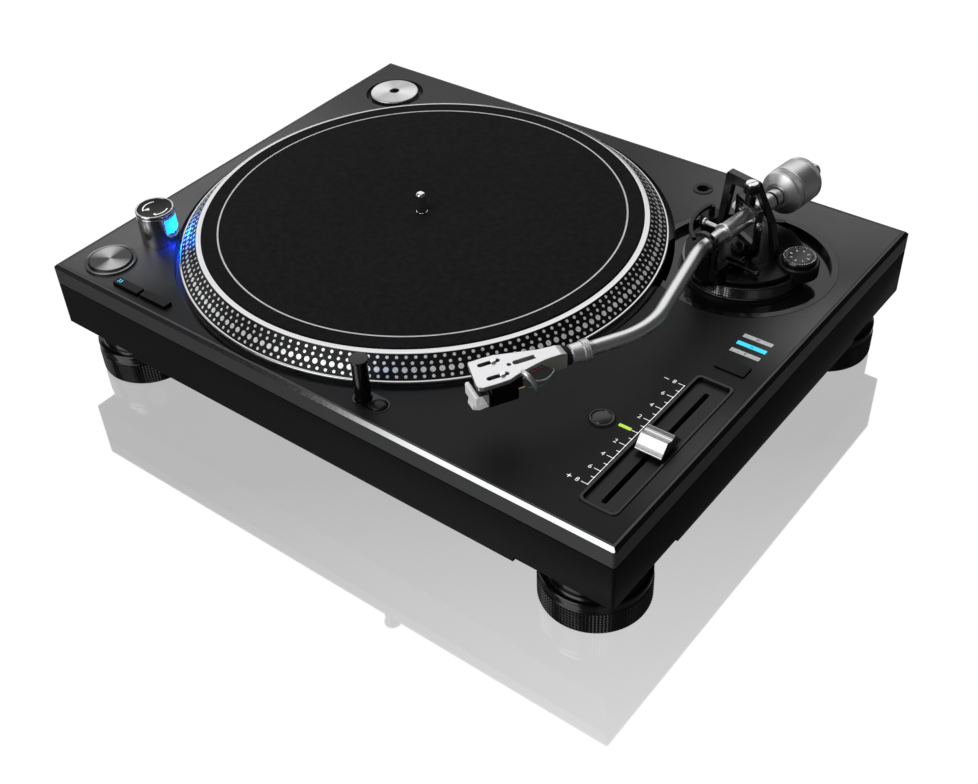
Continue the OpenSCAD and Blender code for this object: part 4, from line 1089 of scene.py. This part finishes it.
SHELL_SIDE = SHELL @ turn(90, "X")
plate = [
    (4, -4.4), (14.5, -5.6), (21, -7.4), (27, -9), (32.5, -10.4), (38, -12), (46, -12.3),
    (53.5, -12.1), (57, 8.5), (56.5, 10.4), (54, 11.8), (46, 12.1), (38, 11.8),
    (32.5, 9.6), (27, 7.9), (21, 6.3), (14.5, 4.9), (4, 4.2),
]
plate_round = [1, 2, 3, 3, 3, 2, 3, 1, 1, 1, 1, 3, 2, 3, 3, 3, 2, 1]
shell = Shape().prism(rounded(plate, plate_round), 125.2, 128, SHELL)
shell = shell.make("shell_plate", SATIN, "shell", "headshell", "arm_metal", bevel=0.9)
slots = Shape()
for outline in (stadium(6.5, 1.35, (43, -6.65)), stadium(6.5, 1.35, (43, 6.05)),
                stadium(8.9, 1.5, (22.2, -0.4)), circle(1.1, 20, (33.5, -0.4))):
    slots.prism(outline, 120, 132, SHELL)
carve(shell, slots)
neck_side = [(0.1, 116.6), (0.1, 126.8), (4, 128), (18, 127.9), (18, 126.3), (11, 121), (6, 116.6)]
neck = Shape().prism(rounded(neck_side, [0.3, 0.8, 0.8, 0.3, 0.3, 2, 1]), -4.5, 4.5, SHELL_SIDE)
neck.make("shell_neck", SATIN, "shell", slot="arm_metal", bevel=0.6)
Shape().rod(4, -13.5, 0.2, SHELL_AXIS, 48).make("shell_plug", GILT, "shell", slot="arm_metal")
gasket = Shape().turned([(4, -3), (5.3, -3), (5.3, 0), (4, 0)], 0.4, SHELL_AXIS, 48)
gasket.make("shell_gasket", RUBBER, "shell", slot="arm_metal")

finger_path = [(29.5, 7.2, 127.0), (28.6, 9.6, 126.9), (27.4, 12.0, 126.2), (26.2, 13.6, 124.2),
               (25.2, 14.3, 121), (24.4, 14.5, 118), (23.8, 14.4, 115.6), (23.3, 14.0, 114.3)]
finger = Shape().sweep(finger_path, [1.4, 1.6, 1.65, 1.6, 1.5, 1.4, 1.3, 0.9], 16, SHELL)
finger.make("finger_lift", SATIN, "shell", slot="arm_metal")

nuts = Shape()
for v in (-6.65, 6.05):
    nuts.turned([(0, 128), (2.0, 128), (2.0, 129.0), (1.7, 129.3), (0, 129.3)], 0.1,
                SHELL @ shift(40.5, v), 24, False)
nuts.make("cartridge_nuts", CHROME, "shell", slot="arm_metal")

pickup = Shape()
pickup.prism(rounded([(29, 117), (48, 117), (48, 122.4), (47, 125.15), (30, 125.15), (29, 122.4)], 0.4),
             -8.0, 8.4, SHELL_SIDE)
pickup.prism(rounded([(31, 107.6), (49, 107.6), (49, 117.2), (31, 117.2)], 0.6), -6.6, 7.0, SHELL_SIDE)
pickup.make("pickup_body", GLOSS, "shell", "cartridge", "black_plastic", bevel=0.3)
LEAD_ENDS = [(-4.8, 112, "red"), (-4.8, 118.5, "blue"), (4, 112, "green"), (4, 118.5, "white")]
pins = Shape()
for v, z, tint in LEAD_ENDS:
    pins.sweep([(26, v, z), (31.2, v, z)], 0.65, 12, SHELL)
pins.make("pickup_pins", GILT, "shell", slot="black_plastic")
needle = Shape()
needle.prism(rounded([(36, 105.7), (49.3, 105.7), (53.6, 105.2), (57.8, 107), (56.6, 114), (55.0, 114),
                      (54.6, 108.6), (49.3, 108.2), (36, 107.4)], 0.4), -3.3, 3.7, SHELL_SIDE)
needle.prism(rounded([(54.8, 110.2), (57.3, 110.8), (57.3, 117.6), (56.4, 118.4), (54.8, 118.0)], 0.5),
             -7.8, 7.8, SHELL_SIDE)
needle.make("needle_holder", WHITE, "shell", "stylus", "white_plastic", bevel=0.25)
tip = Shape().sweep([(40, -0.2, 105.9), (47, -0.2, 104.9)], 0.3, 10, SHELL)
tip.lathe([(0, 104.2), (0.3, 104.6), (0.35, 105.2), (0, 105.2)], SHELL @ shift(47, -0.2), 12)
tip.make("needle_tip", CHROME, "shell", slot="white_plastic")

NECK_X = 4.5
NECK_Z = 119.5
PIN_X = 26.5
for v, z, tint in sorted(LEAD_ENDS, key=lambda lead: lead[1]):
    points = []
    for k in range(17):
        t = k / 16
        sag = sin(pi * t)
        y = v * (0.35 + 0.65 * t) + sag * v * (1.3 if v > 0 else 0.35)
        points.append((NECK_X + (PIN_X - NECK_X) * t, y, NECK_Z + (z - NECK_Z) * t - sag * 2.2))
    Shape().sweep(points, 0.42, 10, SHELL).make("lead_" + tint, WIRES[tint], "shell", slot="arm_metal")


# Floor, light and camera


def studio_floor():
    """White floor with a soft mirror image that fades away from the object."""
    mesh = bpy.data.meshes.new("studio_floor")
    corners = [(x, y, -0.0002) for x, y in ((-6, -6), (6, -6), (6, 6), (-6, 6))]
    mesh.from_pydata(corners, [], [(0, 1, 2, 3)])
    mat = bpy.data.materials.new("studio floor")
    mat.use_nodes = True
    mat.node_tree.nodes.clear()
    nodes = Nodes(mat.node_tree)
    power = nodes.spread(nodes.camera_ray(), 0.10, 1.0, 0.0, 1.0)
    place = nodes.put("ShaderNodeTexCoord")["Object"]
    towards_camera = (0.652, -0.758, 0)
    along = nodes.vector("DOT_PRODUCT", place, towards_camera)
    gloss = {"Roughness": 0.04, "Color": (1, 1, 1, 1)}
    sockets = {
        0: nodes.spread(along, 0.53, 0.23, 0.12, 0.46),
        1: nodes.put("ShaderNodeEmission", {"Strength": power})["Emission"],
        2: nodes.put("ShaderNodeBsdfGlossy", gloss)["BSDF"],
    }
    mix = nodes.put("ShaderNodeMixShader", sockets)["Shader"]
    nodes.put("ShaderNodeOutputMaterial", {"Surface": mix})
    mesh.materials.append(mat)
    new_object("studio_floor", mesh)


studio_floor()


class Sky(Nodes):
    """A dark studio with soft bright panels placed by azimuth and elevation."""

    def __init__(self, base):
        world = bpy.data.worlds.new("studio")
        bpy.context.scene.world = world
        world.use_nodes = True
        super().__init__(world.node_tree)
        ray = self.split(self.put("ShaderNodeTexCoord")["Generated"])
        self.azimuth = self.calc("ARCTAN2", ray["Y"], ray["X"])
        self.elevation = self.calc("ARCSINE", ray["Z"])
        self.total = base

    def step(self, value, edge, soft):
        low, high = radians(edge - soft), radians(edge + soft)
        return self.spread(value, 0.0, 1.0, low, high, interpolation_type="SMOOTHSTEP")

    def window(self, value, ends, soft):
        return self.calc("SUBTRACT", *[self.step(value, edge, soft) for edge in ends])

    def panel(self, az, el, strength, soft):
        across = self.window(self.azimuth, az, soft)
        both = self.calc("MULTIPLY", across, self.window(self.elevation, el, soft))
        self.total = self.calc("ADD", self.calc("MULTIPLY", both, strength), self.total)

    def finish(self):
        sockets = {"Factor": self.camera_ray(), "A": self.total, "B": 1.0}
        mix = self.put("ShaderNodeMix", sockets, data_type="FLOAT")["Result"]
        self.fill(self.tree.nodes["Background"], {"Color": (1, 1, 1, 1), "Strength": mix})


sky = Sky(0.04)
sky.panel((84, 172), (21, 74), 1.0, 2.0)
sky.panel((-128, -88), (18, 62), 2.6, 3.0)
sky.panel((-181, -154), (6, 24), 1.0, 2.0)
sky.panel((126, 181), (8, 21), 1.0, 2.0)
sky.panel((-50, -25), (38, 60), 0.35, 6.0)
sky.panel((-179, 179), (76, 95), 0.9, 3.0)
sky.finish()


def point_light(name, place, power, color, radius):
    light = bpy.data.lights.new(name, "POINT")
    light.energy = power
    light.color = color
    light.shadow_soft_size = radius
    obj = new_object(name, light)
    obj.location = Vector(place) * MM
    obj.visible_glossy = False


point_light("tower_glow", (-173.0, -106.0, 98.5), 0.04, (0.02, 0.32, 1.0), 0.002)
point_light("deck_glow", (-172.6, -112.5, 91.6), 0.1, (0.004, 0.02, 1.0), 0.002)
point_light("lamp_glow", (42.5, -150.0, 110.5), 0.004, (0.3, 0.5, 1.0), 0.004)

# Camera fitted to the photograph: pixels of its frame and of its optical centre.
FRAME_W = 978.0
FRAME_H = 784.0
CENTRE_X = 462.654
CENTRE_Y = 441.156
FOCAL = 1306.711
SENSOR = 36.0
AIM = Vector((91.901, -133.581, 60.0))
AWAY = 773.066
camera = bpy.data.cameras.new("camera")
camera_obj = new_object("camera", camera)
azimuth, elevation, roll = radians(40.743), radians(42.325), radians(-3.832)
back = Vector((sin(azimuth) * cos(elevation), -cos(azimuth) * cos(elevation), sin(elevation)))
level = Vector((cos(azimuth), sin(azimuth), 0))
upward = back.cross(level)
right = level * cos(roll) + upward * sin(roll)
up = upward * cos(roll) - level * sin(roll)
where = (AIM + back * AWAY) * MM
camera_obj.matrix_world = Matrix.Translation(where) @ Matrix((right, up, back)).transposed().to_4x4()
camera.sensor_fit = "HORIZONTAL"
camera.sensor_width = SENSOR
camera.lens = FOCAL * SENSOR / FRAME_W
camera.shift_x = (FRAME_W / 2 - CENTRE_X) / FRAME_W
camera.shift_y = (CENTRE_Y - FRAME_H / 2) / FRAME_W
camera.clip_start = 0.01
camera.clip_end = 50
bpy.context.scene.camera = camera_obj
bpy.context.scene.view_settings.view_transform = "Standard"
